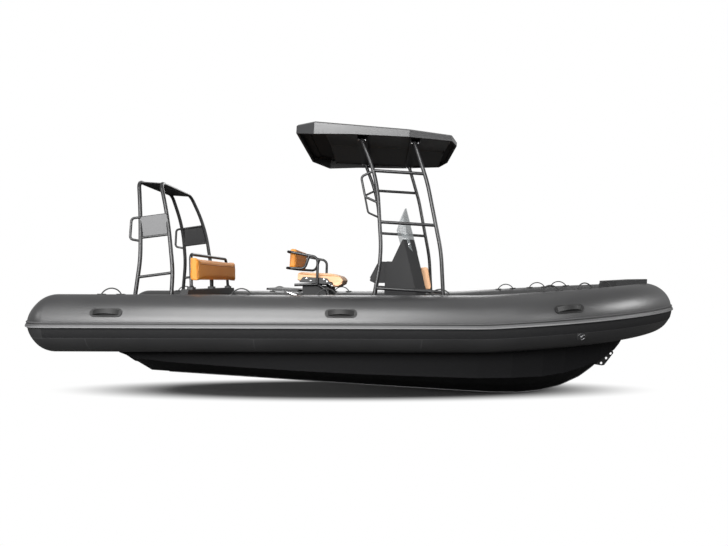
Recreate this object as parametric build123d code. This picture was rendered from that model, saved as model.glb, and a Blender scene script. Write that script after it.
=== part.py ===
from build123d import *
import os
from math import atan2, cos, degrees, radians, sin, sqrt, tan

# Rigid inflatable boat with a centre console, a hard T-top, a helm seat,
# a rear bench, a roll bar and a tube collar that runs round the bow.
# Millimetres. +X is the bow, +Y is port, +Z is up.
# The origin is on the centreline at the waterline, halfway along the boat.

# Driving sizes of the collar
TUBE_R = 260
HALF_TRACK = 990
STERN_X = -2868
MIDSHIP_Z = 438
AFT_SLOPE = 3.4
BOW_SLOPE = 7.0
KNEE_X = 1000
KNEE_R = 4000
SHOULDER_X = 1233
SHOULDER_R = 2000
SHOULDER_ANGLE = 51
CONE_LENGTH = 252
CONE_END_R = 42
CONE_START_R = 190
CONE_START_ANGLE = 38

# Driving sizes of the hull
KEEL_Z = -300
HULL_SKIN = 15
TRANSOM_X = -2400
TRANSOM_T = 40
TRANSOM_Z = 420
ENGINE_CUT_Z = 335
ENGINE_CUT_W = 560
ENGINE_PAD_T = 12
ENGINE_PAD_W = 500
ENGINE_PAD_LOW_Z = -20
ENGINE_BOLT_R = 6.5
ENGINE_BOLTS = ((51, 327), (254, 250.8))
SOLE_Z = 110
SOLE_T = 20
SOLE_FORE_X = 2480
AFT_DECK_Z = 420
AFT_DECK_X = -1900
BOW_DECK_Z = 450
BOW_DECK_X = 1720
DECK_T = 14

# Driving sizes of the tubes and frames
LEG_R = 19
RAIL_R = 14
CORD_R = 6
SEAT_GAP = 0.3

out_dir = "parts"
os.makedirs(out_dir, exist_ok=True)


def save(shape, name):
    """Write one sub-part under its own name."""
    shape.label = name
    export_step(shape, os.path.join(out_dir, name + ".step"))


def whole(shapes):
    """Fuse a list of pieces into one shape."""
    result = shapes[0]
    for piece in shapes[1:]:
        result = result + piece
    return result


def group(shapes):
    """Keep pieces that do not touch as separate solids of one node."""
    solids = []
    for piece in shapes:
        solids.extend(piece.solids())
    return Compound(children=solids)


def mirrored(shape):
    """The same piece on the other side of the centreline."""
    return mirror(shape, about=Plane.XZ)


def block(x0, x1, y0, y1, z0, z1):
    """A box between two corners."""
    size = (x1 - x0, y1 - y0, z1 - z0)
    centre = ((x0 + x1) / 2, (y0 + y1) / 2, (z0 + z1) / 2)
    return Pos(*centre) * Box(*size)


def side_plate(points, y0, y1):
    """A plate with an outline in the XZ plane, from y0 to y1."""
    outline = Polyline(*[(x, 0, z) for x, z in points], close=True)
    face = make_face(outline)
    plate = extrude(face, amount=y1 - y0, dir=(0, 1, 0))
    return Pos(0, y0, 0) * plate


def pipe(points, radius, bend):
    """A round bar along a polyline with rounded corners."""
    if len(points) == 2:
        path = Line(*points)
    else:
        path = FilletPolyline(*points, radius=bend)
    start = Plane(origin=path @ 0, z_dir=path % 0)
    return sweep(start * Circle(radius), path=path)


def rod(start, end, radius):
    """A straight round bar between two points."""
    return pipe([start, end], radius, 0)


# Hinges of the lids: outer knuckles and pin on the fixed side
PIN_R = 3
KNUCKLE_R = 7
KNUCKLE_HALF = 15
KNUCKLE_END = 31
PIN_PLAY = 0.05
LEAF_T = 4


def barrel(x, y0, y1, z, radius):
    """A round bar along Y."""
    return Pos(x, (y0 + y1) / 2, z) * (Rot(90, 0, 0) * Cylinder(radius, y1 - y0))


def fixed_knuckles(x, z, y, leaf):
    """Outer knuckles of one hinge with their pin, joined by leaf(y0, y1)."""
    pieces = [barrel(x, y - KNUCKLE_END, y + KNUCKLE_END, z, PIN_R)]
    for y0, y1 in ((-KNUCKLE_END, -KNUCKLE_HALF - 0.5), (KNUCKLE_HALF + 0.5, KNUCKLE_END)):
        pieces.append(barrel(x, y + y0, y + y1, z, KNUCKLE_R))
        pieces.append(leaf(y + y0, y + y1))
    return whole(pieces)


def moving_knuckle(x, z, y, web):
    """Middle knuckle of one hinge, bored for the pin, joined by web(y0, y1)."""
    y0 = y - KNUCKLE_HALF
    y1 = y + KNUCKLE_HALF
    knuckle = barrel(x, y0, y1, z, KNUCKLE_R) + web(y0, y1)
    return knuckle - barrel(x, y0 - 1, y1 + 1, z, PIN_R + PIN_PLAY)


# Collar axis
def axis_z(x):
    """Height of the collar's centreline above the waterline."""
    if x <= KNEE_X:
        return MIDSHIP_Z + x * tan(radians(AFT_SLOPE))
    knee_z = MIDSHIP_Z + KNEE_X * tan(radians(AFT_SLOPE))
    return knee_z + (x - KNEE_X) * tan(radians(BOW_SLOPE))


KNEE_SPAN = KNEE_R * tan(radians(BOW_SLOPE - AFT_SLOPE) / 2)
AFT_DIR = Vector(cos(radians(AFT_SLOPE)), 0, sin(radians(AFT_SLOPE)))
BOW_DIR = Vector(cos(radians(BOW_SLOPE)), 0, sin(radians(BOW_SLOPE)))
KNEE = Vector(KNEE_X, HALF_TRACK, axis_z(KNEE_X))
STERN = Vector(STERN_X, HALF_TRACK, axis_z(STERN_X))
KNEE_AFT = KNEE - AFT_DIR * KNEE_SPAN
KNEE_FORE = KNEE + BOW_DIR * KNEE_SPAN
BOW_START = Vector(SHOULDER_X, HALF_TRACK, axis_z(SHOULDER_X))

# Frame of the bow arcs: x forward along the slope, y to port, z across it
BOW_ORIGIN = Vector(SHOULDER_X, 0, axis_z(SHOULDER_X))
BOW_FRAME = Plane(
    origin=BOW_ORIGIN,
    x_dir=(BOW_DIR.X, 0, BOW_DIR.Z),
    z_dir=(-BOW_DIR.Z, 0, BOW_DIR.X),
)
# Two shoulder arcs and a nose arc, tangent to one another
SHOULDER_SIN = sin(radians(SHOULDER_ANGLE))
SHOULDER_COS = cos(radians(SHOULDER_ANGLE))
SHOULDER_Y = HALF_TRACK - SHOULDER_R
NOSE_R = (SHOULDER_Y + SHOULDER_R * SHOULDER_COS) / SHOULDER_COS
NOSE_U = (SHOULDER_R - NOSE_R) * SHOULDER_SIN
# Where the collar's centreline turns back at the bow
BOW_TIP_X = SHOULDER_X + (NOSE_U + NOSE_R) * BOW_DIR.X
# Section frame at the stern: x outboard, y up, z forward along the tube
STERN_SECTION = Plane(origin=STERN, x_dir=(0, 1, 0), z_dir=AFT_DIR)

# The cone's outline is a tight arc off the tube and a wide one to its end
CONE_SIN = sin(radians(CONE_START_ANGLE))
CONE_COS = cos(radians(CONE_START_ANGLE))
CONE_JOIN = (-CONE_START_R * CONE_SIN, TUBE_R - CONE_START_R * (1 - CONE_COS))
CONE_CHORD = Vector(CONE_LENGTH + CONE_JOIN[0], CONE_JOIN[1] - CONE_END_R, 0)
CONE_HALF_TURN = degrees(atan2(CONE_CHORD.Y, CONE_CHORD.X)) - CONE_START_ANGLE
CONE_ARC_R = CONE_CHORD.length / 2 / sin(radians(CONE_HALF_TURN))


def side_path():
    """Centreline of the port tube, from the stern to the bow arc."""
    aft = Line(STERN, KNEE_AFT)
    knee = TangentArc(KNEE_AFT, KNEE_FORE, tangent=AFT_DIR)
    fore = Line(KNEE_FORE, BOW_START)
    return Wire([aft, knee, fore])


def along_side(section):
    """Sweep a section, drawn outboard and up from the axis, up the port side."""
    return sweep(STERN_SECTION * section, path=side_path())


def bow_arc(section, centre, radius, start, turn):
    """One arc of the bow, with the section's axis at a radius from a centre."""
    upright = Plane.XZ * (Pos(radius, 0) * section)
    return BOW_FRAME * (Pos(*centre) * (Rot(0, 0, start) * revolve(upright, Axis.Z, turn)))


def round_bow(section):
    """Sweep the same section round the bow: shoulder, nose, shoulder."""
    half_nose = 90 - SHOULDER_ANGLE
    nose = bow_arc(section, (NOSE_U, 0), NOSE_R, -half_nose, 2 * half_nose)
    shoulder = bow_arc(section, (0, SHOULDER_Y), SHOULDER_R, half_nose, SHOULDER_ANGLE)
    return nose + shoulder + mirrored(shoulder)


def round_cone(section):
    """Carry the same section aft round the outboard side of the cone."""
    start_pivot = Axis((TUBE_R - CONE_START_R, 0, 0), (0, 1, 0))
    wide_pivot = Axis((TUBE_R - CONE_ARC_R, 0, 0), (0, 1, 0))
    start = revolve(section, start_pivot, CONE_START_ANGLE)
    wide = revolve(section, wide_pivot, 2 * CONE_HALF_TURN)
    return STERN_SECTION * (start + wide.rotate(start_pivot, CONE_START_ANGLE))


def collar_tube(radius):
    """The port tube with its cone, for one radius."""
    tube = along_side(Circle(radius))
    edge = [
        Line((0, 0), (0, radius)),
        TangentArc((0, radius), CONE_JOIN, tangent=(-1, 0)),
        TangentArc(CONE_JOIN, (-CONE_LENGTH, CONE_END_R), tangent=(-CONE_COS, -CONE_SIN)),
        Line((-CONE_LENGTH, CONE_END_R), (-CONE_LENGTH, 0)),
        Line((-CONE_LENGTH, 0), (0, 0)),
    ]
    profile = make_face(Wire(edge))
    cone = revolve(profile, Axis.X, 360)
    frame = Plane(origin=STERN, x_dir=AFT_DIR, z_dir=(-AFT_DIR.Z, 0, AFT_DIR.X))
    return tube + frame * cone


COLLAR_PORT = collar_tube(TUBE_R)
COLLAR_STARBOARD = mirrored(COLLAR_PORT)
COLLAR_BOW = round_bow(Circle(TUBE_R))
COLLAR = [COLLAR_PORT, COLLAR_STARBOARD, COLLAR_BOW]


def clear_of_collar(shape):
    """Trim a piece to the tubes that it seats against."""
    for tube in COLLAR:
        shape = shape - tube
    return shape


def bow_side(x, inset):
    """Half width of the tubes' centreline at x, moved inboard by an inset."""
    u = (x - SHOULDER_X) / BOW_DIR.X
    if u <= 0:
        return HALF_TRACK - inset
    if u <= SHOULDER_R * SHOULDER_SIN:
        return SHOULDER_Y + sqrt((SHOULDER_R - inset) ** 2 - u ** 2)
    return sqrt((NOSE_R - inset) ** 2 - (u - NOSE_U) ** 2)


# Hull: ruled between stations, each half a list of keel, chine and sheer
SIDE_STATIONS = [
    # x, keel z, chine y, chine z, inset of the sheer from the tube's centreline
    (-2408, -291, 790, 2, 166),
    (-2240, -292, 792, -43, 166),
    (-1900, -293, 795, -60, 165),
    (-1240, -295, 798, -66, 164),
    (-600, -298, 800, -66, 164),
    (0, KEEL_Z, 800, -57, 164),
    (500, KEEL_Z, 800, -44, 164),
    (1000, KEEL_Z, 800, -28, 164),
]
BOW_STATIONS = [
    # how far behind the bow tip, keel z, chine y, chine z, inset of the sheer
    (1543, -297, 790, -6, 164),
    (1243, -280, 757, 20, 150),
    (1023, -241, 708, 60, 130),
    (813, -172, 636, 115, 110),
    (613, -64, 535, 190, 90),
    (493, 36, 455, 243, 80),
    (413, 115, 392, 284, 80),
    (328, 228, 296, 338, 80),
    (243, 360, 196, 412, 110),
    (163, 478, 120, 500, 100),
    (120, 535, 90, 550, 80),
]
RAIL_SHARE = 0.52
RAIL_STEP = 26
CHINE_FLAT = 46


def hull_section(x, keel, chine_y, chine_z, inset, skin, lift):
    """One closed section with a spray rail and a chine flat on each side."""
    sheer_y = bow_side(x, inset)
    narrow = min(1.0, chine_y / 500)
    rail_y = RAIL_SHARE * chine_y
    rise = (chine_z - keel) / (chine_y - CHINE_FLAT * narrow)
    rail_z = keel + rise * rail_y
    step = RAIL_STEP * narrow
    inner = chine_y - CHINE_FLAT * narrow
    sheer_z = max(axis_z(x) - 90, chine_z + 30) + lift
    half = [
        (0, keel + skin),
        (rail_y, rail_z + skin),
        (rail_y + step, rail_z + skin),
        (inner, chine_z + skin),
        (chine_y - skin, chine_z + skin),
        (sheer_y - skin, sheer_z),
    ]
    port = [(x, y, z) for y, z in half]
    starboard = [(x, -y, z) for y, z in half[:0:-1]]
    return make_face(Polyline(*port, *starboard, close=True))


def hull_loft(skin, lift, aft_x):
    """The hull's outer form, or its inner form for a skin thickness."""
    rows = [(aft_x, *SIDE_STATIONS[0][1:])] + SIDE_STATIONS[1:]
    rows += [(BOW_TIP_X - row[0], *row[1:]) for row in BOW_STATIONS]
    faces = [hull_section(*row, skin, lift) for row in rows]
    return loft(faces, ruled=True)


INSIDE_LIFT = 420
BOARD_PROUD = 8
HULL_OUTSIDE = hull_loft(0, 0, TRANSOM_X + BOARD_PROUD)
HULL_INSIDE = hull_loft(HULL_SKIN, INSIDE_LIFT, TRANSOM_X - BOARD_PROUD)


def make_hull():
    """Shell of the hull, open at the top and at the transom."""
    shell = HULL_OUTSIDE - HULL_INSIDE
    return clear_of_collar(shell)


def inside_hull(shape):
    """Trim a panel to the hull and to the tubes."""
    return clear_of_collar(shape & HULL_INSIDE)


save(make_hull(), "hull")
save(COLLAR_PORT, "collar_port")
save(COLLAR_STARBOARD, "collar_starboard")
save(COLLAR_BOW, "collar_bow")


# Rub strake and wear band round the outside of the tubes
STRAKE_TOP = 26
STRAKE_LOW = -35
STRAKE_LIP = TUBE_R + 8
STRAKE_RIDGE = TUBE_R + 16
BAND_T = 3
BAND_LOW = -113


def on_tube(height, radius=TUBE_R):
    """A section point on the tube's outboard side at a height off the axis."""
    return (sqrt(radius ** 2 - height ** 2), height)


def strake_section():
    """Rubber section: an upper lip, a groove and a pointed ridge."""
    top = on_tube(STRAKE_TOP)
    low = on_tube(STRAKE_LOW)
    edge = [
        Line(top, (STRAKE_LIP, STRAKE_TOP - 3)),
        Line((STRAKE_LIP, STRAKE_TOP - 3), (STRAKE_LIP, 13)),
        Line((STRAKE_LIP, 13), (TUBE_R + 3, 10)),
        Line((TUBE_R + 3, 10), (TUBE_R + 6, 6)),
        ThreePointArc((TUBE_R + 6, 6), (STRAKE_RIDGE - 1, -12), (STRAKE_RIDGE, -24)),
        Line((STRAKE_RIDGE, -24), low),
        ThreePointArc(low, (TUBE_R, 0), top),
    ]
    return make_face(Wire(edge))


def band_section():
    """Reinforcing band below the strake."""
    outer = TUBE_R + BAND_T
    middle = (STRAKE_LOW + BAND_LOW) / 2
    edge = [
        ThreePointArc(on_tube(STRAKE_LOW), on_tube(middle), on_tube(BAND_LOW)),
        Line(on_tube(BAND_LOW), on_tube(BAND_LOW, outer)),
        ThreePointArc(on_tube(BAND_LOW, outer), on_tube(middle, outer), on_tube(STRAKE_LOW, outer)),
        Line(on_tube(STRAKE_LOW, outer), on_tube(STRAKE_LOW)),
    ]
    return make_face(Wire(edge))


def all_round(section, tip):
    """A strip along both sides and round the bow, with its end at the cone."""
    side = along_side(section)
    if tip:
        side = side + (round_cone(section) - COLLAR_PORT)
    return side + mirrored(side) + round_bow(section)


save(all_round(strake_section(), True), "rub_strake")
save(all_round(band_section(), False), "wear_band")


# Panels inside the hull
def make_sole():
    """Cockpit sole, fitted to the hull's inside."""
    plate = block(TRANSOM_X + TRANSOM_T, SOLE_FORE_X, -900, 900, SOLE_Z - SOLE_T, SOLE_Z)
    return inside_hull(plate)


def make_transom():
    """Transom board with an engine pad, cut down in the middle."""
    board = block(TRANSOM_X, TRANSOM_X + TRANSOM_T, -900, 900, KEEL_Z, TRANSOM_Z)
    half = ENGINE_CUT_W / 2
    notch = block(TRANSOM_X - 1, TRANSOM_X + TRANSOM_T + 1, -half, half, ENGINE_CUT_Z, TRANSOM_Z + 1)
    board = inside_hull(board) - notch
    half = ENGINE_PAD_W / 2
    board = board + block(TRANSOM_X - ENGINE_PAD_T, TRANSOM_X, -half, half, ENGINE_PAD_LOW_Z, ENGINE_CUT_Z)
    for drop, spacing in ENGINE_BOLTS:
        for y in (-spacing / 2, spacing / 2):
            place = Pos(TRANSOM_X + TRANSOM_T / 2, y, ENGINE_CUT_Z - drop)
            board = board - place * (Rot(0, 90, 0) * Cylinder(ENGINE_BOLT_R, 3 * TRANSOM_T))
    return board


WELL_AFT_X = TRANSOM_X + TRANSOM_T
WELL_FORE_X = -2080
WELL_HALF = 330
WELL_FLOOR_Z = 200


def make_aft_deck():
    """Aft deck on its bulkhead, with a drained well ahead of the transom."""
    top = block(WELL_AFT_X, AFT_DECK_X, -900, 900, AFT_DECK_Z - DECK_T, AFT_DECK_Z)
    bulkhead = block(AFT_DECK_X - DECK_T, AFT_DECK_X, -900, 900, SOLE_Z, AFT_DECK_Z)
    half = WELL_HALF + DECK_T
    low = WELL_FLOOR_Z - DECK_T
    tray = block(WELL_AFT_X, WELL_FORE_X + DECK_T, -half, half, low, AFT_DECK_Z)
    hollow = block(WELL_AFT_X - 1, WELL_FORE_X, -WELL_HALF, WELL_HALF, WELL_FLOOR_Z, AFT_DECK_Z + 1)
    return inside_hull(top + bulkhead + tray - hollow)


HATCH_X0 = 1840
HATCH_X1 = 2240
HATCH_HALF = 290


def make_bow_deck():
    """Bow deck over its locker, with a hatch opening and a bulkhead."""
    top = block(BOW_DECK_X, BOW_TIP_X - 103, -900, 900, BOW_DECK_Z - DECK_T, BOW_DECK_Z)
    bulkhead = block(BOW_DECK_X, BOW_DECK_X + DECK_T, -900, 900, SOLE_Z, BOW_DECK_Z)
    hatch = block(HATCH_X0, HATCH_X1, -HATCH_HALF, HATCH_HALF, BOW_DECK_Z - DECK_T - 1, BOW_DECK_Z + 1)
    deck = inside_hull(top + bulkhead) - hatch
    x, z = BOW_HINGE

    def leaf(y0, y1):
        return block(x - 5, x + 5, y0, y1, BOW_DECK_Z - 1, z)

    for y in BOW_HINGE_Y:
        deck = deck + fixed_knuckles(x, z, y, leaf)
    return deck


LID_T = 14
LID_GAP = 2
LID_OVER = 22
BOW_HINGE = (HATCH_X1 + LID_OVER + 9, BOW_DECK_Z + LID_GAP + KNUCKLE_R)
BOW_HINGE_Y = (-200, 200)


def make_bow_lid():
    """Bow hatch lid with its cushioned top edge and two hinge knuckles."""
    low = BOW_DECK_Z + LID_GAP
    half = HATCH_HALF + LID_OVER
    lid = block(HATCH_X0 - LID_OVER, HATCH_X1 + LID_OVER, -half, half, low, low + LID_T)
    lid = chamfer(lid.edges().group_by(Axis.Z)[-1], 4)
    x, z = BOW_HINGE

    def web(y0, y1):
        return block(HATCH_X1 + LID_OVER - 4, x, y0, y1, z - 4, z + 4)

    for y in BOW_HINGE_Y:
        lid = lid + moving_knuckle(x, z, y, web)
    return lid


save(make_sole(), "sole")
save(make_transom(), "transom")
save(make_aft_deck(), "aft_deck")
save(make_bow_deck(), "bow_deck")
save(make_bow_lid(), "bow_lid")


# Fittings on the tubes
BOW_UP = Vector(-BOW_DIR.Z, 0, BOW_DIR.X)
AFT_UP = Vector(-AFT_DIR.Z, 0, AFT_DIR.X)
OUTBOARD = Vector(0, 1, 0)


def tube_frame(x, lean):
    """Frame on the port tube's axis: x along it, z out at an angle above level."""
    lift = sin(radians(lean))
    side = cos(radians(lean))
    if x > SHOULDER_X:
        u = (x - SHOULDER_X) / BOW_DIR.X
        v = bow_side(x, 0)
        if u <= SHOULDER_R * SHOULDER_SIN:
            run = u / SHOULDER_R
        else:
            run = (u - NOSE_U) / NOSE_R
        across = sqrt(1 - run ** 2)
        origin = BOW_ORIGIN + BOW_DIR * u + OUTBOARD * v
        outward = BOW_DIR * run + OUTBOARD * across
        along = BOW_DIR * across - OUTBOARD * run
        return Plane(origin=origin, x_dir=along, z_dir=outward * side + BOW_UP * lift)
    along = AFT_DIR if x < KNEE_X else BOW_DIR
    up = AFT_UP if x < KNEE_X else BOW_UP
    origin = Vector(x, HALF_TRACK, axis_z(x))
    return Plane(origin=origin, x_dir=along, z_dir=OUTBOARD * side + up * lift)


SKIN_SINK = 14


def skin_piece(shape, thickness):
    """The part of a shape in a skin round the tube, to be trimmed by fit_tube."""
    length = 500
    outer = Rot(0, 90, 0) * Cylinder(TUBE_R + thickness, length)
    inner = Rot(0, 90, 0) * Cylinder(TUBE_R - SKIN_SINK, length)
    return (shape & outer) - inner


HANDLE_LEAN = 24
HANDLE_LENGTH = 280
HANDLE_WIDTH = 78
HANDLE_GRIP_W = 44
HANDLE_RISE = 46
HANDLE_PAD_T = 6
HANDLE_X = (-2318, -286, 1660)


def make_handle():
    """Moulded grab handle: a pad on the tube and an arched grip."""
    half = HANDLE_LENGTH / 2
    pad = Pos(0, 0, TUBE_R) * extrude(SlotOverall(HANDLE_LENGTH, HANDLE_WIDTH), amount=60, both=True)
    pad = skin_piece(pad, HANDLE_PAD_T)
    foot = TUBE_R - 4
    top = TUBE_R + HANDLE_RISE
    outer_end = half - 16
    inner_end = half - 46
    edge = [
        ThreePointArc((-outer_end, foot), (0, top), (outer_end, foot)),
        Line((outer_end, foot), (inner_end, foot)),
        ThreePointArc((inner_end, foot), (0, top - 12), (-inner_end, foot)),
        Line((-inner_end, foot), (-outer_end, foot)),
    ]
    grip = extrude(Plane.XZ * make_face(Wire(edge)), amount=HANDLE_GRIP_W / 2, both=True)
    return pad + grip


LOOP_LEAN = 97
LOOP_RISE = 52
LOOP_HALF = 88
LOOP_X = (-2404, -1216, -435, 600, 1640, 2005, 2235)
PATCH_R = 38
PATCH_T = 5


def make_loop():
    """One lifeline loop: a short arch of rope between its two patches."""
    base = TUBE_R + PATCH_T
    arch = ThreePointArc((-LOOP_HALF, 0, base), (0, 0, base + LOOP_RISE), (LOOP_HALF, 0, base))
    start = Plane(origin=arch @ 0, z_dir=arch % 0)
    rope = sweep(start * Circle(CORD_R), path=arch)
    patches = Rot(0, 90, 0) * Cylinder(base, 3 * LOOP_HALF)
    return rope - patches


def make_patches():
    """The two round patches that hold one loop."""
    discs = [Pos(x, 0, TUBE_R) * Cylinder(PATCH_R, 80) for x in (-LOOP_HALF, LOOP_HALF)]
    return [skin_piece(disc, PATCH_T) for disc in discs]


def both_sides(shapes):
    """Port pieces and their mirror images, as one node."""
    return group(shapes + [mirrored(piece) for piece in shapes])


def fit_tube(piece, x):
    """Trim a fitting to the tube that it sits on."""
    if x > SHOULDER_X:
        return piece - COLLAR_BOW
    return piece - COLLAR_PORT


handles = [fit_tube(tube_frame(x, HANDLE_LEAN) * make_handle(), x) for x in HANDLE_X]
loops = [tube_frame(x, LOOP_LEAN) * make_loop() for x in LOOP_X]
patches = []
for x in LOOP_X:
    patches += [fit_tube(tube_frame(x, LOOP_LEAN) * disc, x) for disc in make_patches()]
save(both_sides(handles), "tube_handles")
save(both_sides(loops), "lifeline_loops")
save(both_sides(patches), "loop_patches")

# Tow ring on each bow quarter
TOW_X = 1755
TOW_LEAN = -35
TOW_PATCH_R = 38
TOW_RING_R = 26
TOW_WIRE_R = 5


def make_tow_ring():
    """Round patch with a saddle and a D ring lying against it."""
    patch = skin_piece(Pos(0, 0, TUBE_R) * Cylinder(TOW_PATCH_R, 80), PATCH_T)
    saddle = Pos(-8, 0, TUBE_R + 9) * Box(18, 36, 14)
    ring = Pos(14, 0, TUBE_R + 14) * (Rot(0, 12, 0) * Torus(TOW_RING_R, TOW_WIRE_R))
    return patch + saddle + ring


tow = fit_tube(tube_frame(TOW_X, TOW_LEAN) * make_tow_ring(), TOW_X)
save(both_sides([tow]), "tow_rings")

# Bow step over the bow tube, and the bow eye plate on the stem
STEP_X0 = BOW_TIP_X - 363
STEP_X1 = BOW_TIP_X - 43
STEP_Z0 = axis_z(BOW_TIP_X) + TUBE_R + 2
STEP_Z1 = STEP_Z0 + 38
STEP_HALF = 224
STEP_T = 16
STEP_DROP = 190
EYE_T = 12
EYE_BORE = 28
EYE_X = BOW_TIP_X - 458
EYE_OUTLINE = ((0, 80), (15, 70), (83, 64), (111, 70), (204, 208), (188, 246), (155, 262))
EYE_HOLES = ((175, 200), (130, 147), (79, 90))


def make_bow_step():
    """Tread over the bow tube with a skirt that seats on it, open below."""
    low = STEP_Z0 - STEP_DROP
    body = side_plate(
        [(STEP_X0, low), (STEP_X1, low), (STEP_X1, STEP_Z1), (STEP_X0, STEP_Z0)],
        -STEP_HALF,
        STEP_HALF,
    )
    body = chamfer(body.edges().group_by(Axis.Z)[-1], 6)
    hollow = side_plate(
        [
            (STEP_X0 + STEP_T, low - 1),
            (STEP_X1 - STEP_T, low - 1),
            (STEP_X1 - STEP_T, STEP_Z1 - STEP_T),
            (STEP_X0 + STEP_T, STEP_Z0 - STEP_T),
        ],
        -STEP_HALF + STEP_T,
        STEP_HALF - STEP_T,
    )
    return body - hollow - COLLAR_BOW


def make_bow_eye():
    """Bow eye plate with three holes, let into the stem."""
    outline = [(EYE_X + x, z) for x, z in EYE_OUTLINE]
    plate = side_plate(outline, -EYE_T / 2, EYE_T / 2)
    plate = plate - HULL_OUTSIDE
    for x, z in EYE_HOLES:
        plate = plate - Pos(EYE_X + x, 0, z) * (Rot(90, 0, 0) * Cylinder(EYE_BORE / 2, 2 * EYE_T))
    return plate


save(make_bow_step(), "bow_step")
save(make_bow_eye(), "bow_eye")

# Console
CONSOLE_HALF = 380
CONSOLE_AFT_X = 81
CONSOLE_SHELF_Z = 1036
CONSOLE_PROFILE = [
    # x, z from the aft foot up and over the dash to the front foot
    (CONSOLE_AFT_X, SOLE_Z),
    (CONSOLE_AFT_X, CONSOLE_SHELF_Z - 2),
    (136, CONSOLE_SHELF_Z),
    (228, 1266),
    (350, 1276),
    (437, 992),
    (504, 765),
    (520, 620),
    (520, SOLE_Z),
]
CORNER_START_X = 360
CORNER_FORE = 60
CORNER_SIDE = 110


def make_console():
    """Console moulding with chamfered front corners."""
    body = side_plate(CONSOLE_PROFILE, -CONSOLE_HALF, CONSOLE_HALF)
    corners = []
    for edge in body.edges():
        place = edge.center()
        along_front = place.X > CORNER_START_X and place.Z > SOLE_Z + 5
        if along_front and abs(abs(place.Y) - CONSOLE_HALF) < 1:
            corners.append(edge)
    return chamfer(corners, CORNER_FORE, CORNER_SIDE)


DASH_HALF = 345
DASH_T = 12
DASH_PROFILE = [(CONSOLE_AFT_X, 812), (-31, 805), (-84, 825), (8, 1030), (CONSOLE_AFT_X, 1032)]
PANEL_INSET = 28


def make_dash():
    """Overhanging instrument hood with a raised blank panel on its slope."""
    hood = side_plate(DASH_PROFILE, -DASH_HALF, DASH_HALF)
    hood = fillet(hood.edges().filter_by(Axis.Y).group_by(Axis.X)[0], 14)
    low, high = [Vector(x, 0, z) for x, z in DASH_PROFILE[2:4]]
    slope = (high - low).normalized()
    foot = low + slope * PANEL_INSET
    length = (high - low).length - 2 * PANEL_INSET
    frame = Plane(origin=foot, x_dir=slope, z_dir=(-slope.Z, 0, slope.X))
    blank = Pos(length / 2, 0, DASH_T / 2 - 1) * Box(length, 2 * (DASH_HALF - 45), DASH_T)
    return hood + frame * blank


SCREEN_T = 6
SCREEN_RAKE = (-101, 0, 315)
SCREEN_LOW_Z = 1150
SCREEN_HIGH = 500
SCREEN_AFT = (268, 376)
SCREEN_FOLD = (338, 352)
SCREEN_FORE = (398, 262)
SCREEN_SIDE = [(232, 1258), (168, 1395), (196, 1484), (236, 1592), (262, 1612), (420, 1150), (340, 1150)]


def make_windscreen(console):
    """Wrap-round screen: a raked front pane and two folded wings."""
    port = [SCREEN_AFT, SCREEN_FOLD, SCREEN_FORE]
    starboard = [(x, -y) for x, y in port[::-1]]
    plan = make_face(Polyline(*port, *starboard, close=True))
    ring = plan - offset(plan, amount=-SCREEN_T)
    back = 2 * (SCREEN_AFT[1] - SCREEN_T - 1)
    ring = ring - Pos(SCREEN_AFT[0], 0) * Rectangle(4 * SCREEN_T, back)
    curtain = extrude(Pos(0, 0, SCREEN_LOW_Z) * ring, amount=SCREEN_HIGH, dir=SCREEN_RAKE)
    outline = side_plate(SCREEN_SIDE, -CONSOLE_HALF, CONSOLE_HALF)
    return (curtain & outline) - console


PAD_HALF = 225
PAD_BACK = [(425, 1000), (510, 1016), (570, 772), (490, 766)]


def make_console_pad(console):
    """Backrest pad of the forward seat, on the front of the console."""
    pad = side_plate(PAD_BACK, -PAD_HALF, PAD_HALF)
    pad = fillet(pad.edges().filter_by(Axis.Y).sort_by(Axis.X)[-2:], 14)
    return pad - console


console = make_console()
save(console, "console")
save(make_dash(), "dash")
save(make_windscreen(console), "windscreen")
save(make_console_pad(console), "console_pad")

# Forward seat ahead of the console
SEAT_WALL = 14
FORE_SEAT_X0 = 520
FORE_SEAT_X1 = 940
FORE_SEAT_HALF = 300
FORE_SEAT_Z = 500
FORE_LID_T = 14
FORE_CUSHION_T = 78


def open_box(x0, x1, half, z0, z1, wall):
    """A box with a floor, open at the top."""
    outer = block(x0, x1, -half, half, z0, z1)
    inner = block(x0 + wall, x1 - wall, -half + wall, half - wall, z0 + wall, z1 + 1)
    return outer - inner


def box_hinge(x1, z1):
    """Hinge line just ahead of a box's front wall and below its top."""
    return (x1 + KNUCKLE_R + 2, z1 - 8)


def hinged_box(x0, x1, half, z1, wall, places):
    """A seat box with the fixed knuckles of its lid on the front wall."""
    box = open_box(x0, x1, half, SOLE_Z, z1, wall)
    x, z = box_hinge(x1, z1)

    def leaf(y0, y1):
        plate = block(x1 - 1, x1 + LEAF_T, y0, y1, z - 40, z)
        return plate + block(x1 - 1, x, y0, y1, z - 5, z + 5)

    for y in places:
        box = box + fixed_knuckles(x, z, y, leaf)
    return box


def hinged_lid(x0, x1, half, z1, over, places):
    """A lid panel over a seat box, with the moving knuckles under it."""
    low = z1 + LID_GAP
    lid = make_lid(x0, x1 + over, half + 10, low, FORE_LID_T)
    x, z = box_hinge(x1, z1)

    def web(y0, y1):
        return block(x - 5, x + 5, y0, y1, z, low + 1)

    for y in places:
        lid = lid + moving_knuckle(x, z, y, web)
    return lid


def soft_block(x0, x1, half, z0, z1, round_r):
    """A cushion with its upper edges rounded."""
    cushion = block(x0, x1, -half, half, z0, z1)
    cushion = fillet(cushion.edges().filter_by(Axis.Z), round_r)
    return fillet(cushion.edges().group_by(Axis.Z)[-1], round_r * 0.5)


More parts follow.
